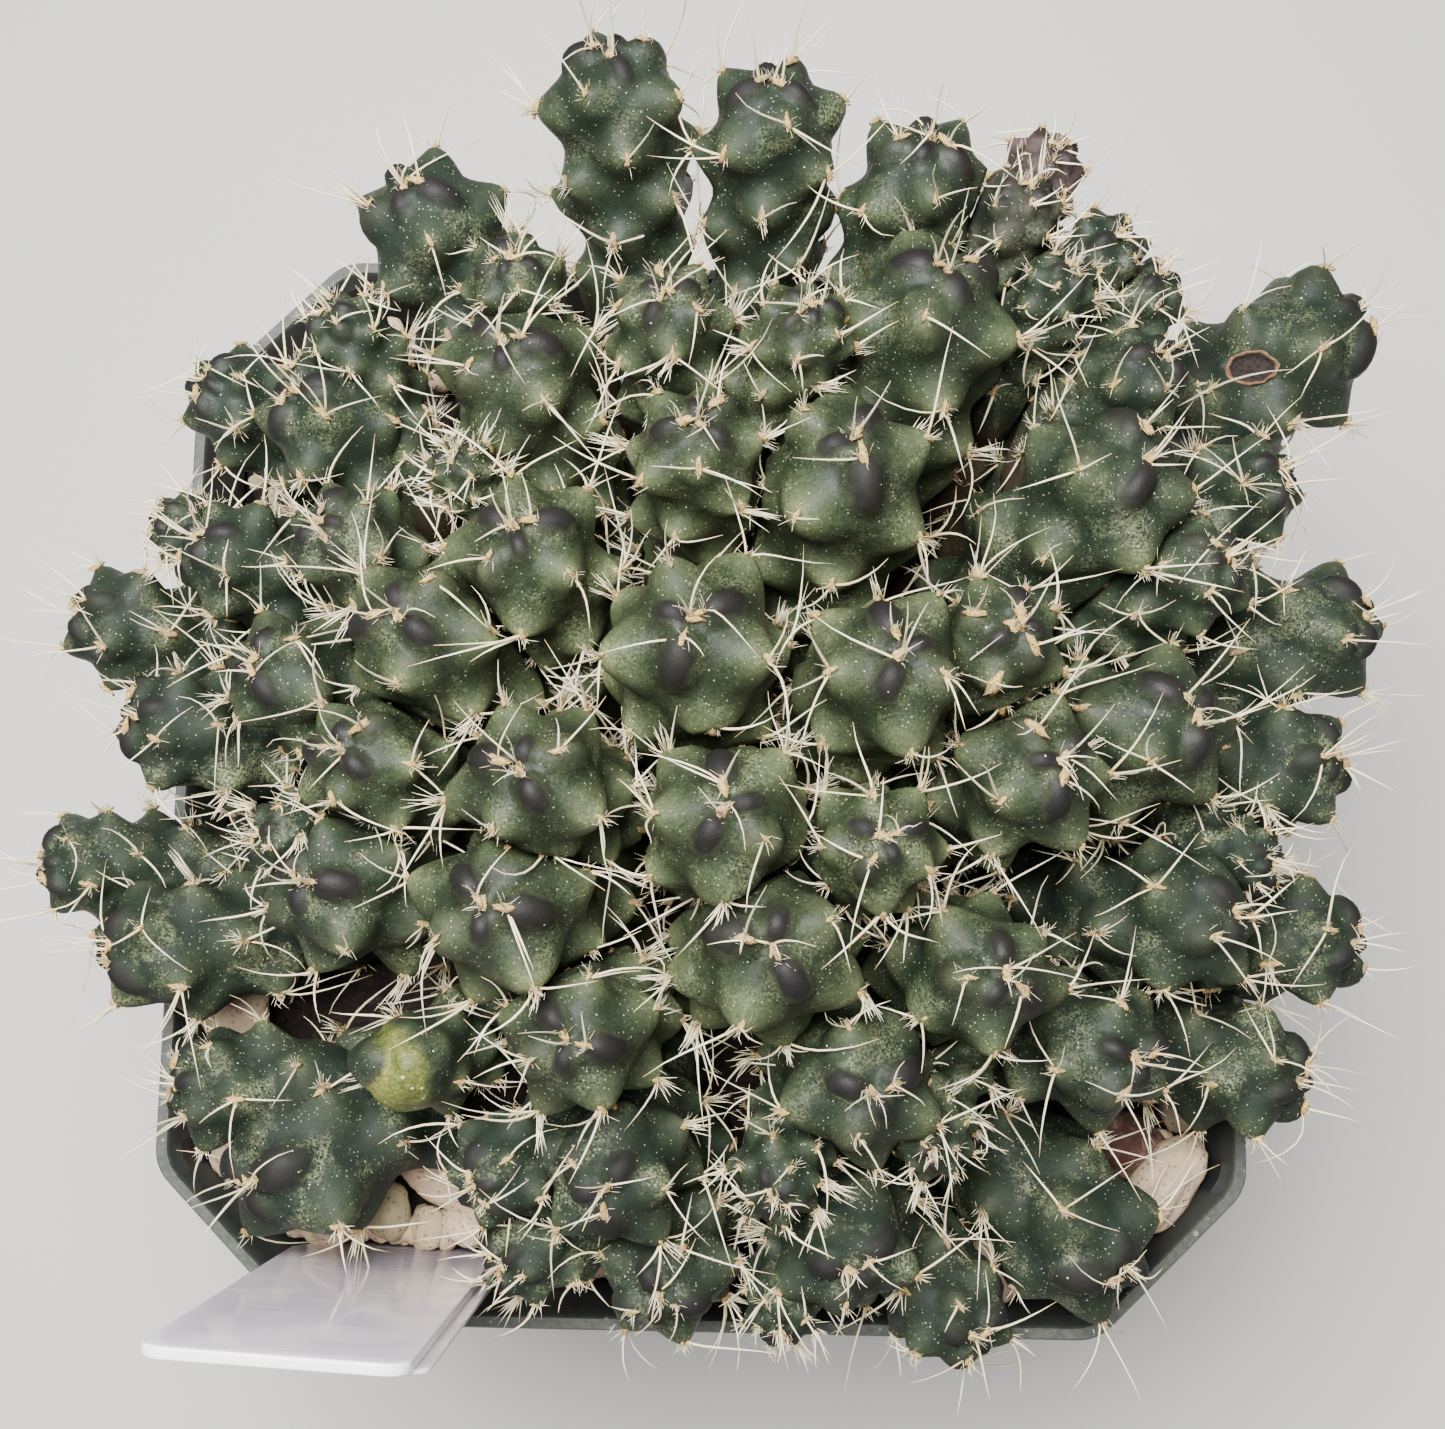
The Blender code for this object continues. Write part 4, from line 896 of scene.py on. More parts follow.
def buildStems(material):
    corners, triangles = ballShape(headCare["faces"])
    triangles = triangles[:, ::-1]      # the ball's top becomes the far end of a downward axis
    heads = planHeads()
    draw = random.Random(clump["seed"] + 20)
    for head in heads:
        head["samples"] = outerSamples(head)
    shapes = {}
    for head in heads:
        near = [other for other in heads if other["stem"] != head["stem"]
                and np.linalg.norm(other["line"][0] - head["line"][0]) < clump["nearby"]]
        places, facts = shapeHead(head, corners, near, draw)
        facts = {key: np.broadcast_to(value, len(places)) for key, value in facts.items()}
        shapes.setdefault(head["stem"], []).append((places, facts))
    for stem, parts in shapes.items():
        copies = np.stack([places for places, _ in parts])
        facts = {key: np.stack([f[key] for _, f in parts]) for key in parts[0][1]}
        piece = linked("stem_" + stem, repeated("stem_" + stem, triangles, copies, facts), material)
        handOver(piece, "cactus_" + stem)
    allPlaces = np.concatenate([places for parts in shapes.values() for places, _ in parts])
    faces = repeatedFaces(triangles, len(heads), len(corners))
    tree = BVHTree.FromPolygons(allPlaces.tolist(), faces.tolist())
    print("stems built,", len(faces), "triangles")
    return heads, tree


def corkMaterial():
    material, tree, read = newMaterial(
        "woundCork", {"Roughness": wound["roughness"]}, wound["clouds"], ("inside",))
    low, high = wound["rimColors"]
    healed = addNode(tree, "MapRange", [read["grain"], *wound["healed"]], smoothly)[0]
    rim = addNode(tree, "Mix", {0: healed, 6: low, 7: high}, colored)[2]
    holes = addNode(tree, "TexVoronoi", {"Vector": read["place"], "Scale": 1 / (wound["pitSize"] * mm)})
    pit = addNode(tree, "MapRange", [holes["Distance"], *wound["pits"]], smoothly)[0]
    # painted shade: the pits, sunk only by the bump, turn near-black
    hollow = addNode(tree, "Mix", {0: pit, 6: wound["pitShadeColor"], 7: wound["hollowColor"]}, colored)[2]
    height = addNode(tree, "Math", [pit, wound["pitRelief"], read["grain"]], timesPlus)[0]
    leadToShader(tree, rim, [(read["inside"], hollow)], height, wound["relief"])
    return material


def widestFace(bm):
    return max(bm.faces, key=lambda face: len(face.verts))


def skinBelow(tree, x, y):
    return tree.ray_cast(Vector((x, y, 0.2)), Vector((0, 0, -1)))[0]


def buildWound(tree, material):
    # a disc in rings, laid on the skin round the wound and sunk in its middle, with a turned-under edge
    bm = bmesh.new()
    bmesh.ops.create_circle(bm, cap_ends=True, segments=48, radius=1)
    for share in wound["rings"]:
        inner = bmesh.ops.extrude_discrete_faces(bm, faces=[widestFace(bm)])["faces"][0]
        bmesh.ops.scale(bm, verts=inner.verts, vec=(share, share, 1))
    bmesh.ops.poke(bm, faces=[widestFace(bm)])
    bmesh.ops.subdivide_edges(bm, edges=[e for e in bm.edges if e.calc_length() > 0.3], cuts=2)
    bmesh.ops.triangulate(bm, faces=bm.faces)
    turn, size, middle = Matrix.Rotation(wound["turn"], 2), wound["size"], wound["place"]
    # the skin just outside the wound gives the plane that its rim keeps to
    outside = wound["outside"]
    ring = [turn @ Vector((size[0] * outside * math.cos(a), size[1] * outside * math.sin(a)))
            for a in np.linspace(0, 2 * math.pi, 24, endpoint=False)]
    ring = [Vector((p.x + middle[0], p.y + middle[1])) for p in ring]
    hits = [skinBelow(tree, p.x, p.y) for p in ring]
    grid, heights = np.array([(p.x, p.y, 1) for p in hits]), np.array([p.z for p in hits])
    level = np.linalg.lstsq(grid, heights, rcond=None)[0]
    insides = []
    for vert in bm.verts:
        out = math.hypot(vert.co.x, vert.co.y)
        ragged = 1 + wound["ragged"] * noise.noise(Vector((vert.co.x * 2.4, vert.co.y * 2.4, 3))) * out
        spot = turn @ Vector((vert.co.x * size[0], vert.co.y * size[1])) * ragged
        x, y = spot.x + middle[0], spot.y + middle[1]
        hit = skinBelow(tree, x, y)
        flat = level[0] * x + level[1] * y + level[2]
        lumps = wound["lumps"] * noise.noise(Vector((x, y, 0)) / wound["lumpSize"])
        if out > 0.97:
            z = hit.z - wound["tucked"]
        elif out > 0.8:
            rise = float(np.interp(out, [0.8, 0.9, 0.97], [0.6, 1.0, 0.7]))
            z = max(hit.z, flat) + wound["rim"] * rise + lumps
        else:
            sunk = wound["hollow"] * float(smoothStep(out, 0.82, 0.66))
            z = max(flat + wound["rim"] * 0.8 - sunk, hit.z + 0.06 * mm) + lumps
        vert.co = (x, y, z)
        insides.append(float(smoothStep(out, 0.90, 0.80)))
    mesh = meshFromBmesh("corkyWound", bm)
    if mesh.polygons[0].normal.z < 0:
        mesh.flip_normals()
    setFact(mesh, "inside", insides)
    piece = linked("corkyWound", mesh, material)
    piece.modifiers.new("thickness", "SOLIDIFY").thickness = 0.3 * mm
    handOver(piece)
    print("wound built,", len(mesh.polygons), "faces")


spineCare = {
    "sides": 4, "pieces": 6, "radius": 0.13 * mm, "length": (4.5 * mm, 10.5 * mm), "sunk": 0.4 * mm,
    "youngCount": (1, 3), "oldCount": (1, 3), "youngAge": 0.35, "smallHead": 11.5 * mm,
    "free": 0.68,           # a tubercle pressed in further than this has lost its spines
    "lowest": 90 * mm,
    "buried": 0.08,         # share of the areoles under other heads that still have spines
    # how a spine sets out from its areole, and how it turns at its kink and near its tip
    "outward": (0.35, 1.1), "sideways": (0.5, 1.0), "kink": (0.10, 0.28),
    "spread": (0.2, 1.0), "sway": (0.25, 0.30), "sag": (-0.1, 0.35),
    "tries": 6, "shorter": 0.07, "mostHidden": 2,       # how a way clear of the heads is sought
    "taper": (0, 0.6, 1), "widths": (1.1, 0.85, 0.15),  # along a spine or hair, in shares of its radius
    "thickness": (0.8, 1.15), "shortest": 0.75, "fullHead": 13 * mm,
    "pale": (0, 0.25), "weathered": 0.4, "weatheredShare": 0.08,
}


def tubeTemplate(sides, pieces):
    bm = bmesh.new()
    bmesh.ops.create_cone(bm, cap_ends=True, segments=sides, radius1=1, radius2=1, depth=1)
    bmesh.ops.translate(bm, verts=bm.verts, vec=(0, 0, 0.5))
    if pieces > 1:
        upright = [e for e in bm.edges if abs(e.verts[0].co.z - e.verts[1].co.z) > 0.5]
        bmesh.ops.subdivide_edges(bm, edges=upright, cuts=pieces - 1, use_grid_fill=True)
    return shapeOf(bm)


def bendTube(corners, path, radius):
    # lays the tube along a path of evenly spaced points
    along = corners[:, 2]
    spots = np.linspace(0, 1, len(path))
    center = np.stack([np.interp(along, spots, path[:, i]) for i in range(3)], axis=-1)
    direction = unit(path[-1] - path[0])
    first = unit(np.cross(direction, [0.31, 0.52, 0.79]))
    second = np.cross(direction, first)
    width = radius * np.interp(along, spineCare["taper"], spineCare["widths"])
    return center + (first * corners[:, :1] + second * corners[:, 1:2]) * width[:, None]


def curvePath(points, count):
    # a smooth path through the first and last point that is drawn towards those between
    points = np.array(points)
    steps = np.linspace(0, 1, count)
    total = len(points) - 1
    weights = np.stack([math.comb(total, i) * steps ** i * (1 - steps) ** (total - i)
                        for i in range(total + 1)], axis=1)
    return weights @ points


def insideBody(tree, point, margin):
    near, normal, _, _ = tree.find_nearest(Vector(point), 9 * mm)
    if near is None:
        return False
    return (Vector(point) - near).dot(normal) < margin


def covered(tree, areole):
    # true where another head lies above the areole
    start = Vector(areole["place"] + areole["out"] * 0.8 * mm)
    return tree.ray_cast(start, Vector((0, 0, 1)), 40 * mm)[0] is not None


def insideBox(points, margin=0.3 * mm):
    low, high = np.array(cadBox[0]) + margin, np.array(cadBox[1]) - margin
    return bool((points > low).all() and (points < high).all())


def openAreoles(heads, free, lowest):
    # the areoles that stand free enough and high enough to show
    return [(head, areole) for head in heads for areole in head["areoles"]
            if areole["free"] >= free and areole["place"][2] >= lowest and not areole["lost"]]


def spinePath(areole, length, draw):
    out, up, care = areole["out"], areole["up"], spineCare
    across = np.cross(out, up)
    angle = draw.uniform(0, 2 * math.pi)
    flat = unit(across * math.cos(angle) + up * math.sin(angle) * 0.8)
    start = areole["place"] - out * care["sunk"]
    first = unit(out * draw.uniform(*care["outward"]) + flat * draw.uniform(*care["sideways"]))
    second = unit(first + flat * draw.uniform(*care["spread"]) + scatter(draw, care["sway"][0]))
    third = unit(second + scatter(draw, care["sway"][1]) - out * draw.uniform(*care["sag"]))
    kink = draw.uniform(*care["kink"])
    bend = start + first * length * kink + second * length * 0.45
    return [start, start + first * length * kink, start + first * length * kink * 1.5,
            bend, bend + third * length * (0.55 - kink)]


def bestPath(areole, length, tree, draw):
    # the first try that runs clear of the heads, or else the one that does so best
    best = None
    for attempt in range(spineCare["tries"]):
        controls = spinePath(areole, length * (1 - spineCare["shorter"] * attempt), draw)
        path = curvePath(controls, spineCare["pieces"] + 1)
        if not insideBox(path):
            continue
        hidden = sum(insideBody(tree, p, 0.1 * mm) for p in path[2:])
        if best is None or hidden < best[0]:
            best = (hidden, path)
        if hidden == 0:
            break
    return best[1] if best is not None and best[0] <= spineCare["mostHidden"] else None


def buildSpines(heads, tree, material):
    care = spineCare
    draw = random.Random(clump["seed"] + 21)
    corners, triangles = tubeTemplate(care["sides"], care["pieces"])
    copies, pale = [], []
    for head, areole in openAreoles(heads, care["free"], care["lowest"]):
        if covered(tree, areole) and draw.random() > care["buried"]:
            continue
        low, high = care["youngCount" if areole["age"] < care["youngAge"] else "oldCount"]
        small = head["width"] < care["smallHead"]
        for _ in range(draw.randint(low, high - small)):
            grown = care["shortest"] + (1 - care["shortest"]) * areole["size"]
            length = draw.uniform(*care["length"]) * grown
            path = bestPath(areole, length * min(1.0, head["width"] / care["fullHead"]), tree, draw)
            if path is None:
                continue
            copies.append(bendTube(corners, path, care["radius"] * draw.uniform(*care["thickness"])))
            fresh = draw.uniform(*care["pale"])
            pale.append(fresh + (care["weathered"] if draw.random() < care["weatheredShare"] else 0))
    facts = {"along": corners[None, :, 2], "pale": np.array(pale)[:, None]}
    mesh = repeated("spines", triangles, np.array(copies), facts)
    handOver(linked("spines", mesh, material))
    print("spines built,", len(copies), "spines,", len(mesh.polygons), "triangles")


tuftCare = {
    "free": 0.66, "lowest": 88 * mm,
    # brushes of fine bristles on this share of the older areoles
    "share": 0.32, "age": 0.45, "fullHead": 15 * mm,
    "count": (8, 14), "length": (2.4 * mm, 4.6 * mm), "radius": 0.06 * mm, "spread": (0.12, 0.28),
    "lift": (-0.2, 0.8), "aside": 0.35, "rooted": 0.25 * mm, "even": (0.6, 1.0),
    # short felt hairs on all of them
    "hairs": (8, 13), "hairLength": (0.5 * mm, 1.5 * mm), "hairRadius": 0.04 * mm, "hairSpread": 0.6,
    "hairRooted": 0.3 * mm, "hairSunk": 0.2,    # hairSunk in mm
}


def buildBristles(heads, tree, material):
    draw = random.Random(clump["seed"] + 22)
    shapes = {"bristles": tubeTemplate(3, 2), "feltHairs": tubeTemplate(3, 1)}
    copies = {name: [] for name in shapes}

    def addHair(name, path, radius):
        copies[name].append(bendTube(shapes[name][0], np.array(path), radius))

    for head, areole in openAreoles(heads, tuftCare["free"], tuftCare["lowest"]):
        out, up, start = areole["out"], areole["up"], areole["place"]
        if covered(tree, areole) and draw.random() > spineCare["buried"]:
            continue
        often = tuftCare["share"] * min(1.0, head["width"] / tuftCare["fullHead"])
        if areole["age"] > tuftCare["age"] and draw.random() < often:
            across = np.cross(out, up)
            lift = draw.uniform(*tuftCare["lift"])
            lead = unit(out + up * lift + across * draw.gauss(0, tuftCare["aside"]))
            spread = draw.uniform(*tuftCare["spread"])
            length = draw.uniform(*tuftCare["length"])
            for _ in range(draw.randint(*tuftCare["count"])):
                way = unit(lead + scatter(draw, spread))
                root = start + scatter(draw, tuftCare["rooted"])
                reach = length * draw.uniform(*tuftCare["even"])
                end = root + way * reach
                path = [root, root + (way * 0.5 + lead * 0.03) * reach, end]
                if insideBox(np.array(path)) and not insideBody(tree, end, 0.0):
                    addHair("bristles", path, tuftCare["radius"])
        for _ in range(draw.randint(*tuftCare["hairs"])):
            way = unit(out + scatter(draw, tuftCare["hairSpread"]))
            root = start + scatter(draw, tuftCare["hairRooted"])
            length = draw.uniform(*tuftCare["hairLength"])
            path = [root - out * tuftCare["hairSunk"] * mm, root + way * length]
            if insideBox(np.array(path)):
                addHair("feltHairs", path, tuftCare["hairRadius"])
    for name, (corners, triangles) in shapes.items():
        facts = {"along": 0.3 + 0.5 * corners[None, :, 2], "pale": 0.0}
        mesh = repeated(name, triangles, np.array(copies[name]), facts)
        handOver(linked(name, mesh, material))
        print(name, "built,", len(copies[name]), "pieces,", len(mesh.polygons), "triangles")


areoleCare = {
    "width": 0.36 * mm, "length": 1.0 * mm, "height": 0.28 * mm, "faces": 2, "lumps": 0.34, "point": 0.45,
    "free": 0.55, "lowest": 88 * mm, "oldest": 2.2,     # head widths from the tip
    "youngAge": 0.3, "youngSize": 1.4, "woollySize": 1.5, "up": 0.2,        # up in mm
    "sizes": (0.6, 1.05), "smallest": 0.6, "fullHead": 12 * mm,
    "old": (0.0, 0.25), "oldAge": 1.0, "older": 0.5, "oddShare": 0.1, "woollyOld": 0.2,
}


def buildAreoles(heads, material):
    care = areoleCare
    draw = random.Random(clump["seed"] + 23)
    corners, triangles = ballShape(care["faces"])
    copies, old = [], []
    for head, areole in openAreoles(heads, care["free"], care["lowest"]):
        if areole["age"] > care["oldest"]:
            continue
        woolly = head["stem"] == headCare["woolly"]
        out, up = areole["out"], areole["up"]
        across = unit(np.cross(up, out))
        upward = unit(np.cross(out, across))
        size = draw.uniform(*care["sizes"]) * (care["smallest"] + (1 - care["smallest"]) * areole["size"])
        size *= min(1.0, head["width"] / care["fullHead"])
        size *= care["youngSize"] if areole["age"] < care["youngAge"] else 1
        size *= care["woollySize"] if woolly else 1
        lumps = np.array([1 + draw.uniform(-care["lumps"], care["lumps"]) for _ in corners])[:, None]
        ball = corners * lumps * size
        point = 1 + care["point"] * np.maximum(ball[:, 1:2], 0)
        spot = (across * (ball[:, :1] / point * care["width"])
                + upward * ball[:, 1:2] * care["length"] + out * ball[:, 2:3] * care["height"])
        copies.append(areole["place"] + upward * care["up"] * mm + spot)
        value = draw.uniform(*care["old"]) + care["older"] * (areole["age"] > care["oldAge"])
        value += care["older"] if draw.random() < care["oddShare"] else 0
        old.append(min(value, 1.0) * (care["woollyOld"] if woolly else 1))
    mesh = repeated("areoles", triangles, np.array(copies), {"old": np.array(old)[:, None]})
    handOver(linked("areoles", mesh, material))
    print("areoles built,", len(copies), "pads,", len(mesh.polygons), "triangles")


def cornerCutAt(width):
    # the pot's wall slopes, so its cut corners get smaller with its width
    return potShape["cornerCut"] - (2 - math.sqrt(2)) * (potShape["width"] - width) / 2


def potOutline(width, z, steps=6):
    # corners of the cut square as arcs
    half, cut = width / 2, cornerCutAt(width)
    corners = [(half, -half + cut), (half, half - cut), (half - cut, half), (-half + cut, half),
               (-half, half - cut), (-half, -half + cut), (-half + cut, -half), (half - cut, -half)]
    points = []
    for index, corner in enumerate(corners):
        here = Vector(corner)
        before = (Vector(corners[index - 1]) - here).normalized()
        after = (Vector(corners[(index + 1) % 8]) - here).normalized()
        reach = potShape["cornerRadius"] * math.tan(math.radians(22.5))
        start, end = here + before * reach, here + after * reach
        for step in range(steps + 1):
            t = step / steps
            point = start * (1 - t) ** 2 + here * 2 * t * (1 - t) + end * t * t
            points.append(Vector((point.x, point.y, z)))
    return points


def wallWidth(z):
    top = potShape["width"] - 2 * potShape["bandStep"]
    return potShape["baseWidth"] + (top - potShape["baseWidth"]) * z / potShape["height"]


def innerWidth(z):
    return wallWidth(z) - 2 * potShape["wall"]


def loftedSolid(levels):
    # one outline extruded through the levels (width, height), with both ends filled
    bm = bmesh.new()
    bm.faces.new([bm.verts.new(p) for p in potOutline(*levels[0])])
    edges = bm.edges[:]
    for width, z in levels[1:]:
        moved = bmesh.ops.extrude_edge_only(bm, edges=edges)
        edges = [g for g in moved["geom"] if isinstance(g, bmesh.types.BMEdge)]
        order = sorted(movedVerts(moved), key=lambda v: math.atan2(v.co.y, v.co.x))
        wanted = sorted(potOutline(width, z), key=lambda p: math.atan2(p.y, p.x))
        for vert, point in zip(order, wanted):
            vert.co = point
    bmesh.ops.contextual_create(bm, geom=edges)
    return bm


def buildPot(material):
    height, band = potShape["height"], potShape["height"] - potShape["bandHeight"]
    full, inset = potShape["width"], potShape["rimTop"]
    base, floor = potShape["baseWidth"], potShape["floor"]
    # width and height of each turn of the wall: the foot, the outside, the band, the rim, the inside
    levels = [(base - 2.4 * mm, 0.0), (base - 0.6 * mm, 0.5 * mm),
              (wallWidth(1.8 * mm), 1.8 * mm), (wallWidth(band) - 0.2 * mm, band - 0.4 * mm),
              (full - 1.0 * mm, band + 0.1 * mm), (full - 0.3 * mm, band + 0.6 * mm),
              (full, height - 1.0 * mm), (full - 0.1 * mm, height - 0.35 * mm), (full - 0.5 * mm, height),
              (full - 2 * inset, height), (full - 2 * inset - 0.5 * mm, height - 0.35 * mm),
              (innerWidth(height) - 0.2 * mm, height - 1.2 * mm), (innerWidth(floor), floor)]
    pot = linked("squarePot", meshFromBmesh("squarePot", loftedSolid(levels), smooth=False), material)
    holes = bmesh.new()
    radius, reach = potShape["holeRadius"], potShape["holeReach"]
    for x in (-reach, reach):
        for y in (-reach, reach):
            made = bmesh.ops.create_cone(holes, cap_ends=True, segments=32, radius1=radius, radius2=radius,
                                         depth=6 * mm)
            bmesh.ops.translate(holes, verts=made["verts"], vec=(x, y, 0))
    cutter = linked("drainHoles", meshFromBmesh("drainHoles", holes, smooth=False), material)
    modifier = pot.modifiers.new("holes", "BOOLEAN")
    modifier.operation = "DIFFERENCE"
    modifier.object = cutter
    graph = bpy.context.evaluated_depsgraph_get()
    pot.data = bpy.data.meshes.new_from_object(pot.evaluated_get(graph))
    pot.modifiers.clear()
    bpy.data.objects.remove(cutter, do_unlink=True)
    pot.data.shade_smooth()
    pot.data.set_sharp_from_angle(angle=math.radians(38))
    setFact(pot.data, "rim", [float(v.co.z > height - 0.1 * mm) for v in pot.data.vertices])
    handOver(pot, "pot")
    print("pot built,", len(pot.data.polygons), "faces")


soilCare = {
    "squares": 110, "crumble": 0.45 * mm, "crumbleSize": 3 * mm,
    "crumbs": 900, "crumbSize": (0.5 * mm, 1.5 * mm), "crumbStretch": (0.7, 1.2), "crumbLumps": 0.25,
    "crumbLift": 0.25, "crumbMargin": 2 * mm,
}


def soilHeight(x, y):
    wave = math.sin(x * 420 + 1.3) * math.cos(y * 380 + 0.4) + 0.5 * math.sin(x * 910 - y * 760)
    return potShape["height"] - ground["drop"] + ground["relief"] * wave / 1.5


def buildSoil(material):
    draw = random.Random(clump["seed"] + 24)
    half = innerWidth(potShape["height"] - ground["drop"]) / 2 - ground["clearance"]
    cut = cornerCutAt(2 * half)
    bm = bmesh.new()
    bmesh.ops.create_grid(bm, x_segments=soilCare["squares"], y_segments=soilCare["squares"], size=half)
    for x in (-1, 1):
        for y in (-1, 1):
            bmesh.ops.bisect_plane(bm, geom=bm.verts[:] + bm.edges[:] + bm.faces[:], dist=1e-7,
                                   plane_co=(x * half, y * (half - cut), 0), plane_no=(x, y, 0),
                                   clear_outer=True)
    for vert in bm.verts:
        x, y = vert.co.x, vert.co.y
        crumble = noise.fractal(Vector((x, y, 0)) / soilCare["crumbleSize"], 0.8, 2.2, 4)
        vert.co.z = soilHeight(x, y) + crumble * soilCare["crumble"]
    lowHalf = innerWidth(potShape["floor"]) / 2 - ground["clearance"]
    for vert in movedVerts(bmesh.ops.extrude_face_region(bm, geom=bm.faces[:])):
        vert.co.x *= lowHalf / half
        vert.co.y *= lowHalf / half
        vert.co.z = potShape["floor"] + ground["clearance"]
    low = [f for f in bm.faces if f.calc_center_median().z < 10 * mm and abs(f.normal.z) > 0.9]
    bmesh.ops.dissolve_faces(bm, faces=low)
    soil = linked("soilBlock", meshFromBmesh("soilBlock", bm), material)
    handOver(soil, "soil")
    corners, triangles = ballShape(1, 0.5)
    copies = []
    while len(copies) < soilCare["crumbs"]:
        x, y = draw.uniform(-half, half), draw.uniform(-half, half)
        if outlineReach(x, y) > half - soilCare["crumbMargin"]:
            continue
        size = draw.uniform(*soilCare["crumbSize"])
        stretch = np.array([draw.uniform(*soilCare["crumbStretch"]) for _ in range(3)]) * size
        rough = soilCare["crumbLumps"]
        lumps = np.array([1 + draw.uniform(-rough, rough) for _ in corners])[:, None]
        level = soilHeight(x, y) + soilCare["crumbLift"] * size
        copies.append(corners * lumps * stretch + np.array([x, y, level]))
    crumbs = linked("soilCrumbs", repeated("soilCrumbs", triangles, np.array(copies), {}), material)
    handOver(crumbs)
    print("soil built,", len(soil.data.polygons), "faces,", len(copies), "crumbs")


# Pumice: the larger stones that show between the heads, as place in plan, size along and across,
# height, turn in degrees, tone (0 cream, 0.75 olive, 1 red-brown) and lift over the bed, all in mm,
# and a scatter of small ones along the wall.
pumiceCare = {
    "shown": [
        (-37.8, -46.5, 7.5, 6, 5.4, 20, 0.05, 1), (-32, -44.2, 6.6, 5.5, 5, 90, 0.62, 0.6),
        (-28.2, -46.4, 4.8, 4, 4.4, 90, 0.5, 0.5), (-24, -46.2, 5.6, 4.8, 4.4, 10, 0.12, 0.5),
        (-26.8, -41, 11, 6, 4.4, -25, 0.22, 0.6), (-33, -47.2, 4.4, 3.4, 3.6, 0, 0.3, 0),
        (-48.5, -24.3, 10, 7, 5.5, 65, 0.14, 1), (-47.5, -30.5, 6, 5, 4, 80, 0.05, 0),
        (-48.2, -38, 7, 5, 4.4, 75, 0.2, 1), (-45.5, -42.4, 6, 4.4, 4, -50, 0.05, 0.5),
        (-42, -45.2, 5, 4, 4, -40, 0.2, 0), (53, -44.6, 11.6, 6.6, 6.6, 53, 0.12, 4.6),
        (43.6, -36.2, 11, 7.4, 6.2, -25, 1.0, 2.0), (49.5, -31.5, 7, 5, 4.6, 80, 0.8, 1),
        (31, -50, 12, 8.4, 6, 70, 0.2, 2.4), (25.5, -45, 9, 6, 5, 10, 0.3, 1),
        (-10.5, -48.5, 6, 5, 4, 0, 0.2, 0), (2, -49, 6, 5, 4, 0, 0.3, 0), (14, -49, 6, 5, 4, 0, 0.3, 0),
        (20, -48, 5, 5, 4, 0, 0.1, 0), (-49, -12, 6, 5, 4, 90, 0.4, 0), (47, -36.5, 5, 4, 4, 30, 0.1, 0),
        (43.5, -41.5, 5, 5, 4, 0, 0.2, 0),
    ],
    "small": 170, "smallSize": (2.4 * mm, 5.0 * mm), "fromWall": (1.5, 7.0), "tries": 4000,
    "band": 8 * mm, "bed": 1.8 * mm, "wallGap": 0.4 * mm, "tagGap": 1.2 * mm, "room": 0.40,
    "cuts": 7, "cutDepth": 0.16, "lumps": 0.13, "lumpScale": 1.6,   # of one stone
    "raised": 0.12, "apart": 0.75, "breadth": (0.7, 1), "depth": (0.6, 0.85), "smallTones": (0, 0.7),
}


def stoneShape(corners, size, angle, draw):
    # a ball with some sides worn flat
    cuts = np.array([unit(scatter(draw, 1)) for _ in range(pumiceCare["cuts"])])
    facing = np.maximum(corners @ cuts.T, 0) ** 4
    shrink = 1.04 - (facing * pumiceCare["cutDepth"]).sum(axis=1)
    offset = Vector([draw.uniform(-50, 50) for _ in range(3)])
    lumps = np.array([noise.fractal(Vector(c) * pumiceCare["lumpScale"] + offset, 0.9, 2.1, 4)
                      for c in corners])
    turn = np.array(Matrix.Rotation(angle, 3, "Z"))
    return (corners * (shrink * (1 + pumiceCare["lumps"] * lumps))[:, None] * np.array(size) * 0.5) @ turn.T


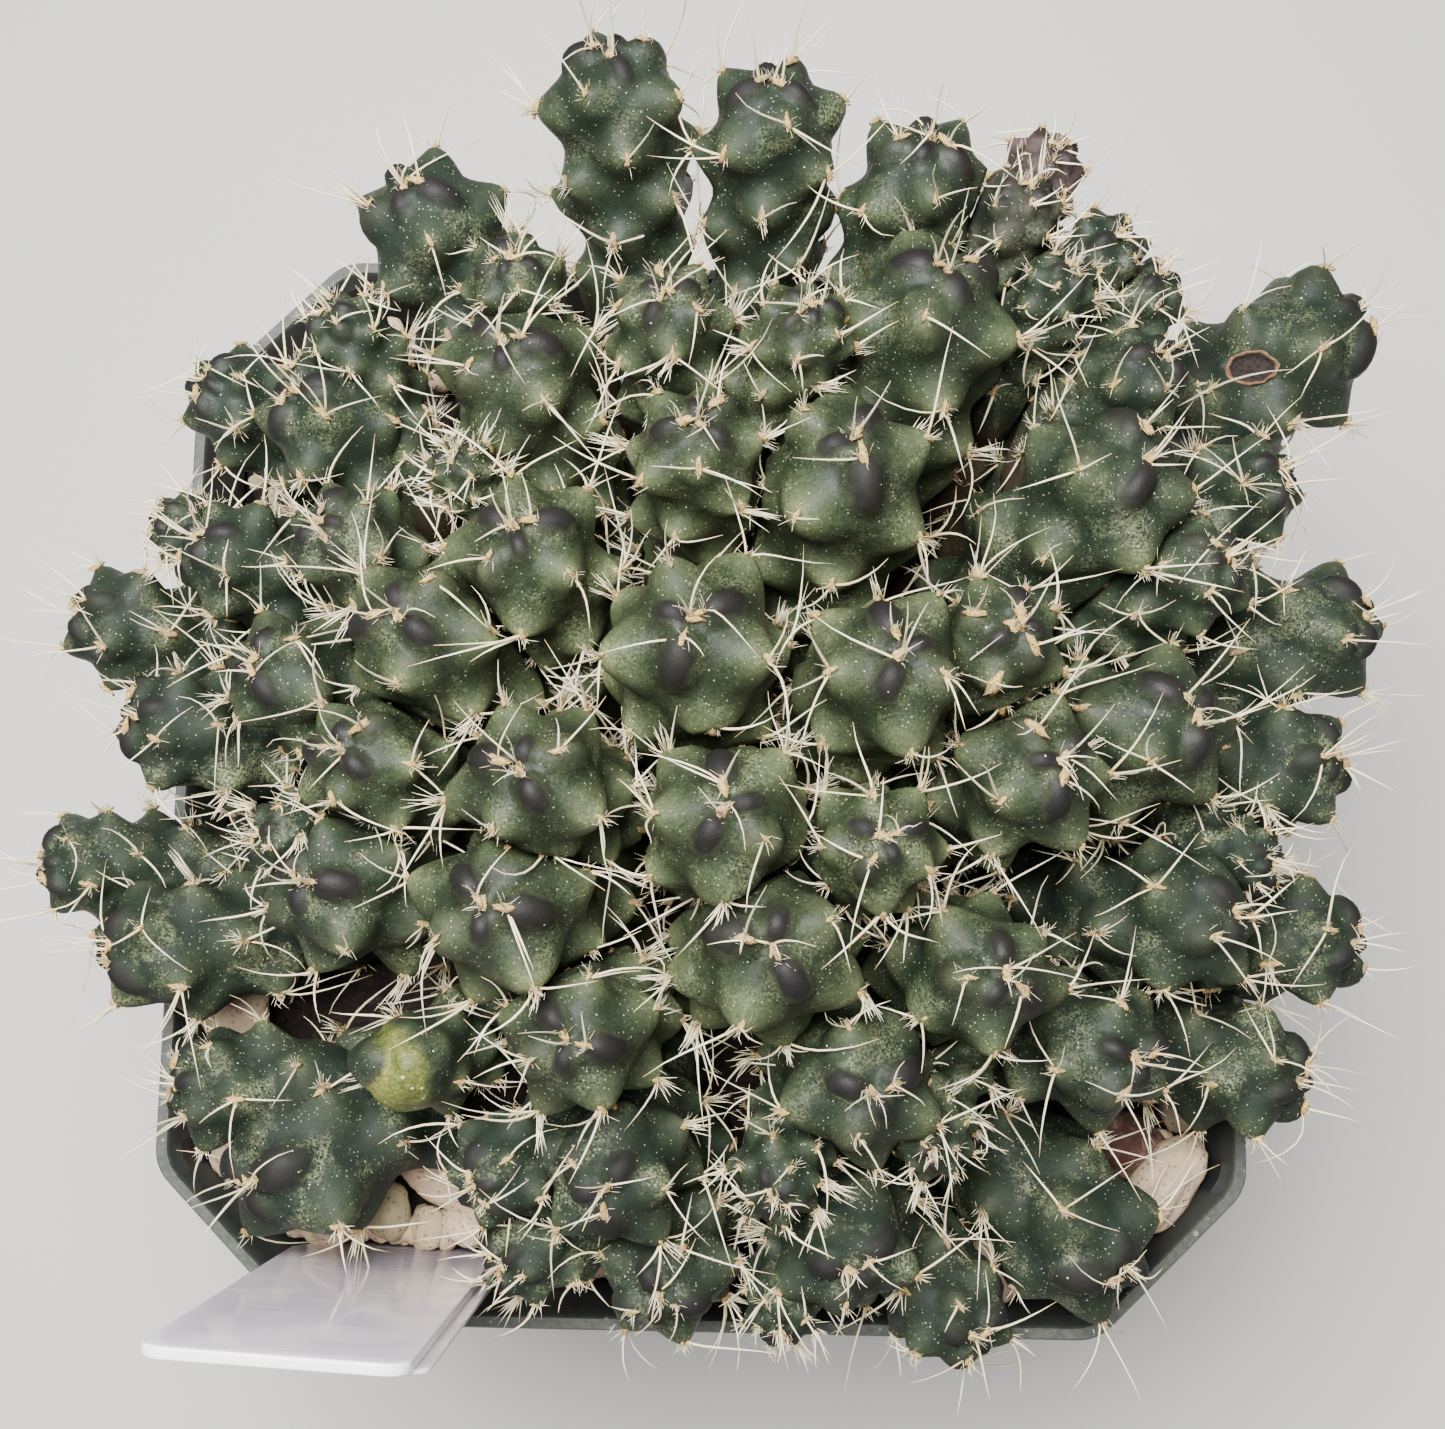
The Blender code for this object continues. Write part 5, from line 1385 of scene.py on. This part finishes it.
def buildGravel(material, earth):
    draw = random.Random(clump["seed"] + 25)
    care = pumiceCare
    low = potShape["height"] - ground["drop"] + ground["relief"] + ground["clearance"]
    high = low + care["bed"]
    wall = innerWidth(high) / 2 - care["wallGap"]
    tag = Vector(tagShape["place"])
    sets = {name: {"ball": ballShape(faces), "copies": [], "tones": []}
            for name, faces in (("pumiceLarge", 4), ("pumiceSmall", 3))}
    taken = []

    def place(x, y, size, angle, tone, name, lift=0.0):
        level = high + size[2] * care["raised"] + lift
        side = innerWidth(level) / 2 - care["wallGap"]
        acrossCorner = 2 * side - cornerCutAt(2 * side)
        room = care["room"] * size[1]
        while max(abs(x), abs(y)) > side - room or abs(x) + abs(y) > acrossCorner - room * math.sqrt(2):
            x, y = x * 0.995, y * 0.995
        if abs(x - tag.x) < tagShape["width"] / 2 + 1 * mm and abs(y - tag.y) < room + care["tagGap"]:
            y = tag.y + room + care["tagGap"] + 0.1 * mm
        shape = stoneShape(sets[name]["ball"][0], size, angle, draw)
        sets[name]["copies"].append(shape + np.array([x, y, level]))
        sets[name]["tones"].append(tone)
        taken.append((x, y, max(size[:2]) / 2))

    for x, y, *size, angle, tone, lift in care["shown"]:
        place(x * mm, y * mm, [s * mm for s in size], math.radians(angle), tone, "pumiceLarge", lift * mm)
    tries = 0
    while len(sets["pumiceSmall"]["copies"]) < care["small"] and tries < care["tries"]:
        tries += 1
        angle = draw.uniform(0, 2 * math.pi)
        x, y = 75 * mm * math.cos(angle), 75 * mm * math.sin(angle)
        scale = (wall - draw.uniform(*care["fromWall"]) * mm) / outlineReach(x, y)
        x, y = x * scale, y * scale
        size = draw.uniform(*care["smallSize"])
        if any(math.hypot(x - a, y - b) < care["apart"] * (size / 2 + r) for a, b, r in taken):
            continue
        sizes = [size, size * draw.uniform(*care["breadth"]), size * draw.uniform(*care["depth"])]
        place(x, y, sizes, draw.uniform(0, math.pi), draw.uniform(*care["smallTones"]), "pumiceSmall")
    bed = linked("pumiceBed", bedMesh(innerWidth(low) - 2 * ground["clearance"], low, high), earth)
    handOver(bed, "gravel")
    print("pumice bed built,", len(bed.data.polygons), "faces")
    for name, made in sets.items():
        tones = np.array(made["tones"])[:, None]
        mesh = repeated(name, made["ball"][1], np.array(made["copies"]), {"tone": tones})
        handOver(linked(name, mesh, material))
        print(name, len(made["copies"]), "stones,", len(mesh.polygons), "triangles")


def bedMesh(width, low, high):
    # meant as the bed of grit and soil that the stones lie in, but it stands as a sheet along the wall
    # without any width: the lone face has no normal yet, so the inset doesn't move its inner edge
    bm = bmesh.new()
    bm.faces.new([bm.verts.new(p) for p in potOutline(width, low)])
    inner = bmesh.ops.inset_region(bm, faces=bm.faces[:], thickness=pumiceCare["band"],
                                   use_boundary=True, use_even_offset=True)
    bmesh.ops.delete(bm, geom=[f for f in bm.faces if f not in set(inner["faces"])], context="FACES")
    bmesh.ops.subdivide_edges(bm, edges=bm.edges[:], cuts=3, use_grid_fill=True)
    for vert in movedVerts(bmesh.ops.extrude_face_region(bm, geom=bm.faces[:])):
        vert.co.z = high - 0.3 * mm + 0.35 * mm * noise.noise(vert.co / (2 * mm))
    return meshFromBmesh("pumiceBed", bm)


tagShape = {
    "width": 20.5 * mm, "top": 147 * mm, "tip": 76 * mm, "tipWidth": 4 * mm,
    "place": (-31 * mm, -48.9 * mm), "shoulder": 93 * mm, "turn": math.radians(-3), "corner": 2.2 * mm,
    # two sheets, one behind the other: back and front face from the tag's middle plane, how far the
    # sheet stands out to the right, and how far it ends below the top
    "sheets": [(-0.25 * mm, 0.75 * mm, 0.0, 0.0), (-0.75 * mm, -0.3 * mm, 1.0 * mm, 3.5 * mm)],
    "softened": 0.18 * mm,
}


def addSheet(bm, back, front, aside, drop):
    half, corner = tagShape["width"] / 2, tagShape["corner"]
    shoulder, foot = tagShape["shoulder"], tagShape["tip"]
    tip, top = tagShape["tipWidth"] / 2, tagShape["top"] - drop
    outline = [(-tip, foot), (tip, foot), (half, shoulder)]
    for side in (1, -1):
        for step in range(9):
            angle = math.pi / 16 * (step if side == 1 else 8 - step)
            outline.append((side * (half - corner + corner * math.cos(angle)),
                            top - corner + corner * math.sin(angle)))
    outline.append((-half, shoulder))
    corners = [(x + aside * min(1.0, (z - foot) / (shoulder - foot)), back, z) for x, z in outline]
    face = bm.faces.new([bm.verts.new(c) for c in corners])
    moved = movedVerts(bmesh.ops.extrude_face_region(bm, geom=[face]))
    bmesh.ops.translate(bm, verts=moved, vec=(0, front - back, 0))


def buildTag(material):
    bm = bmesh.new()
    for sheet in tagShape["sheets"]:
        addSheet(bm, *sheet)
    bmesh.ops.recalc_face_normals(bm, faces=bm.faces)
    rim = [e for e in bm.edges if e.calc_face_angle(0) > 1.2]
    bmesh.ops.bevel(bm, geom=rim, offset=tagShape["softened"], segments=3, profile=0.5,
                    affect="EDGES", material=-1)
    planes = [level for sheet in tagShape["sheets"] for level in sheet[:2]]
    edges = [float(min(abs(v.co.y - level) for level in planes) > 0.001 * mm) for v in bm.verts]
    turn = Matrix.Translation((*tagShape["place"], 0)) @ Matrix.Rotation(tagShape["turn"], 4, "Z")
    bmesh.ops.transform(bm, matrix=turn, verts=bm.verts)
    mesh = meshFromBmesh("plantTag", bm)
    setFact(mesh, "edge", edges)
    mesh.set_sharp_from_angle(angle=math.radians(35))
    handOver(linked("plantTag", mesh, material), "plant_tag")
    print("tag built")


# A matt painted board under the pot, and soft lights aimed at the clump.
studio = {
    "floorColor": "#dcdad4", "floorRoughness": 0.9, "floorSize": 3.0,
    "worldColor": "#e6e9ec", "worldStrength": 0.27,
    # place, size and watts of each soft light
    "lights": [((-0.05, 0.06, 0.42), 0.22, 4.5), ((0.42, -0.30, 0.60), 0.55, 0.8)],
    "aim": (0.0, 0.0, 0.11),
}


def buildStudio():
    paint = {"Roughness": studio["floorRoughness"], "Base Color": studio["floorColor"]}
    board, _, _ = newMaterial("paleFloor", paint)
    bm = bmesh.new()
    bmesh.ops.create_grid(bm, x_segments=1, y_segments=1, size=studio["floorSize"] / 2)
    floor = linked("floor", meshFromBmesh("floor", bm, smooth=False), board)
    if floor.data.polygons[0].normal.z < 0:
        floor.data.flip_normals()
    for index, (place, size, power) in enumerate(studio["lights"]):
        data = bpy.data.lights.new("softbox" + str(index), "AREA")
        data.shape = "DISK"
        data.size = size
        data.energy = power
        lamp = bpy.data.objects.new(data.name, data)
        bpy.context.scene.collection.objects.link(lamp)
        lamp.location = place
        lamp.rotation_euler = (Vector(place) - Vector(studio["aim"])).to_track_quat("Z", "Y").to_euler()
    world = bpy.data.worlds.new("studio")
    bpy.context.scene.world = world
    world.use_nodes = True
    background = world.node_tree.nodes["Background"]
    background.inputs["Color"].default_value = linear(studio["worldColor"])
    background.inputs["Strength"].default_value = studio["worldStrength"]
    print("studio set")


placeCamera()
buildStudio()
ivory = spineMaterial()
earth = soilMaterial()
heads, bodyTree = buildStems(skinMaterial())
buildWound(bodyTree, corkMaterial())
buildSpines(heads, bodyTree, ivory)
buildBristles(heads, bodyTree, ivory)
buildAreoles(heads, woolMaterial())
buildPot(potMaterial())
buildSoil(earth)
buildGravel(pumiceMaterial(), earth)
buildTag(tagMaterial())
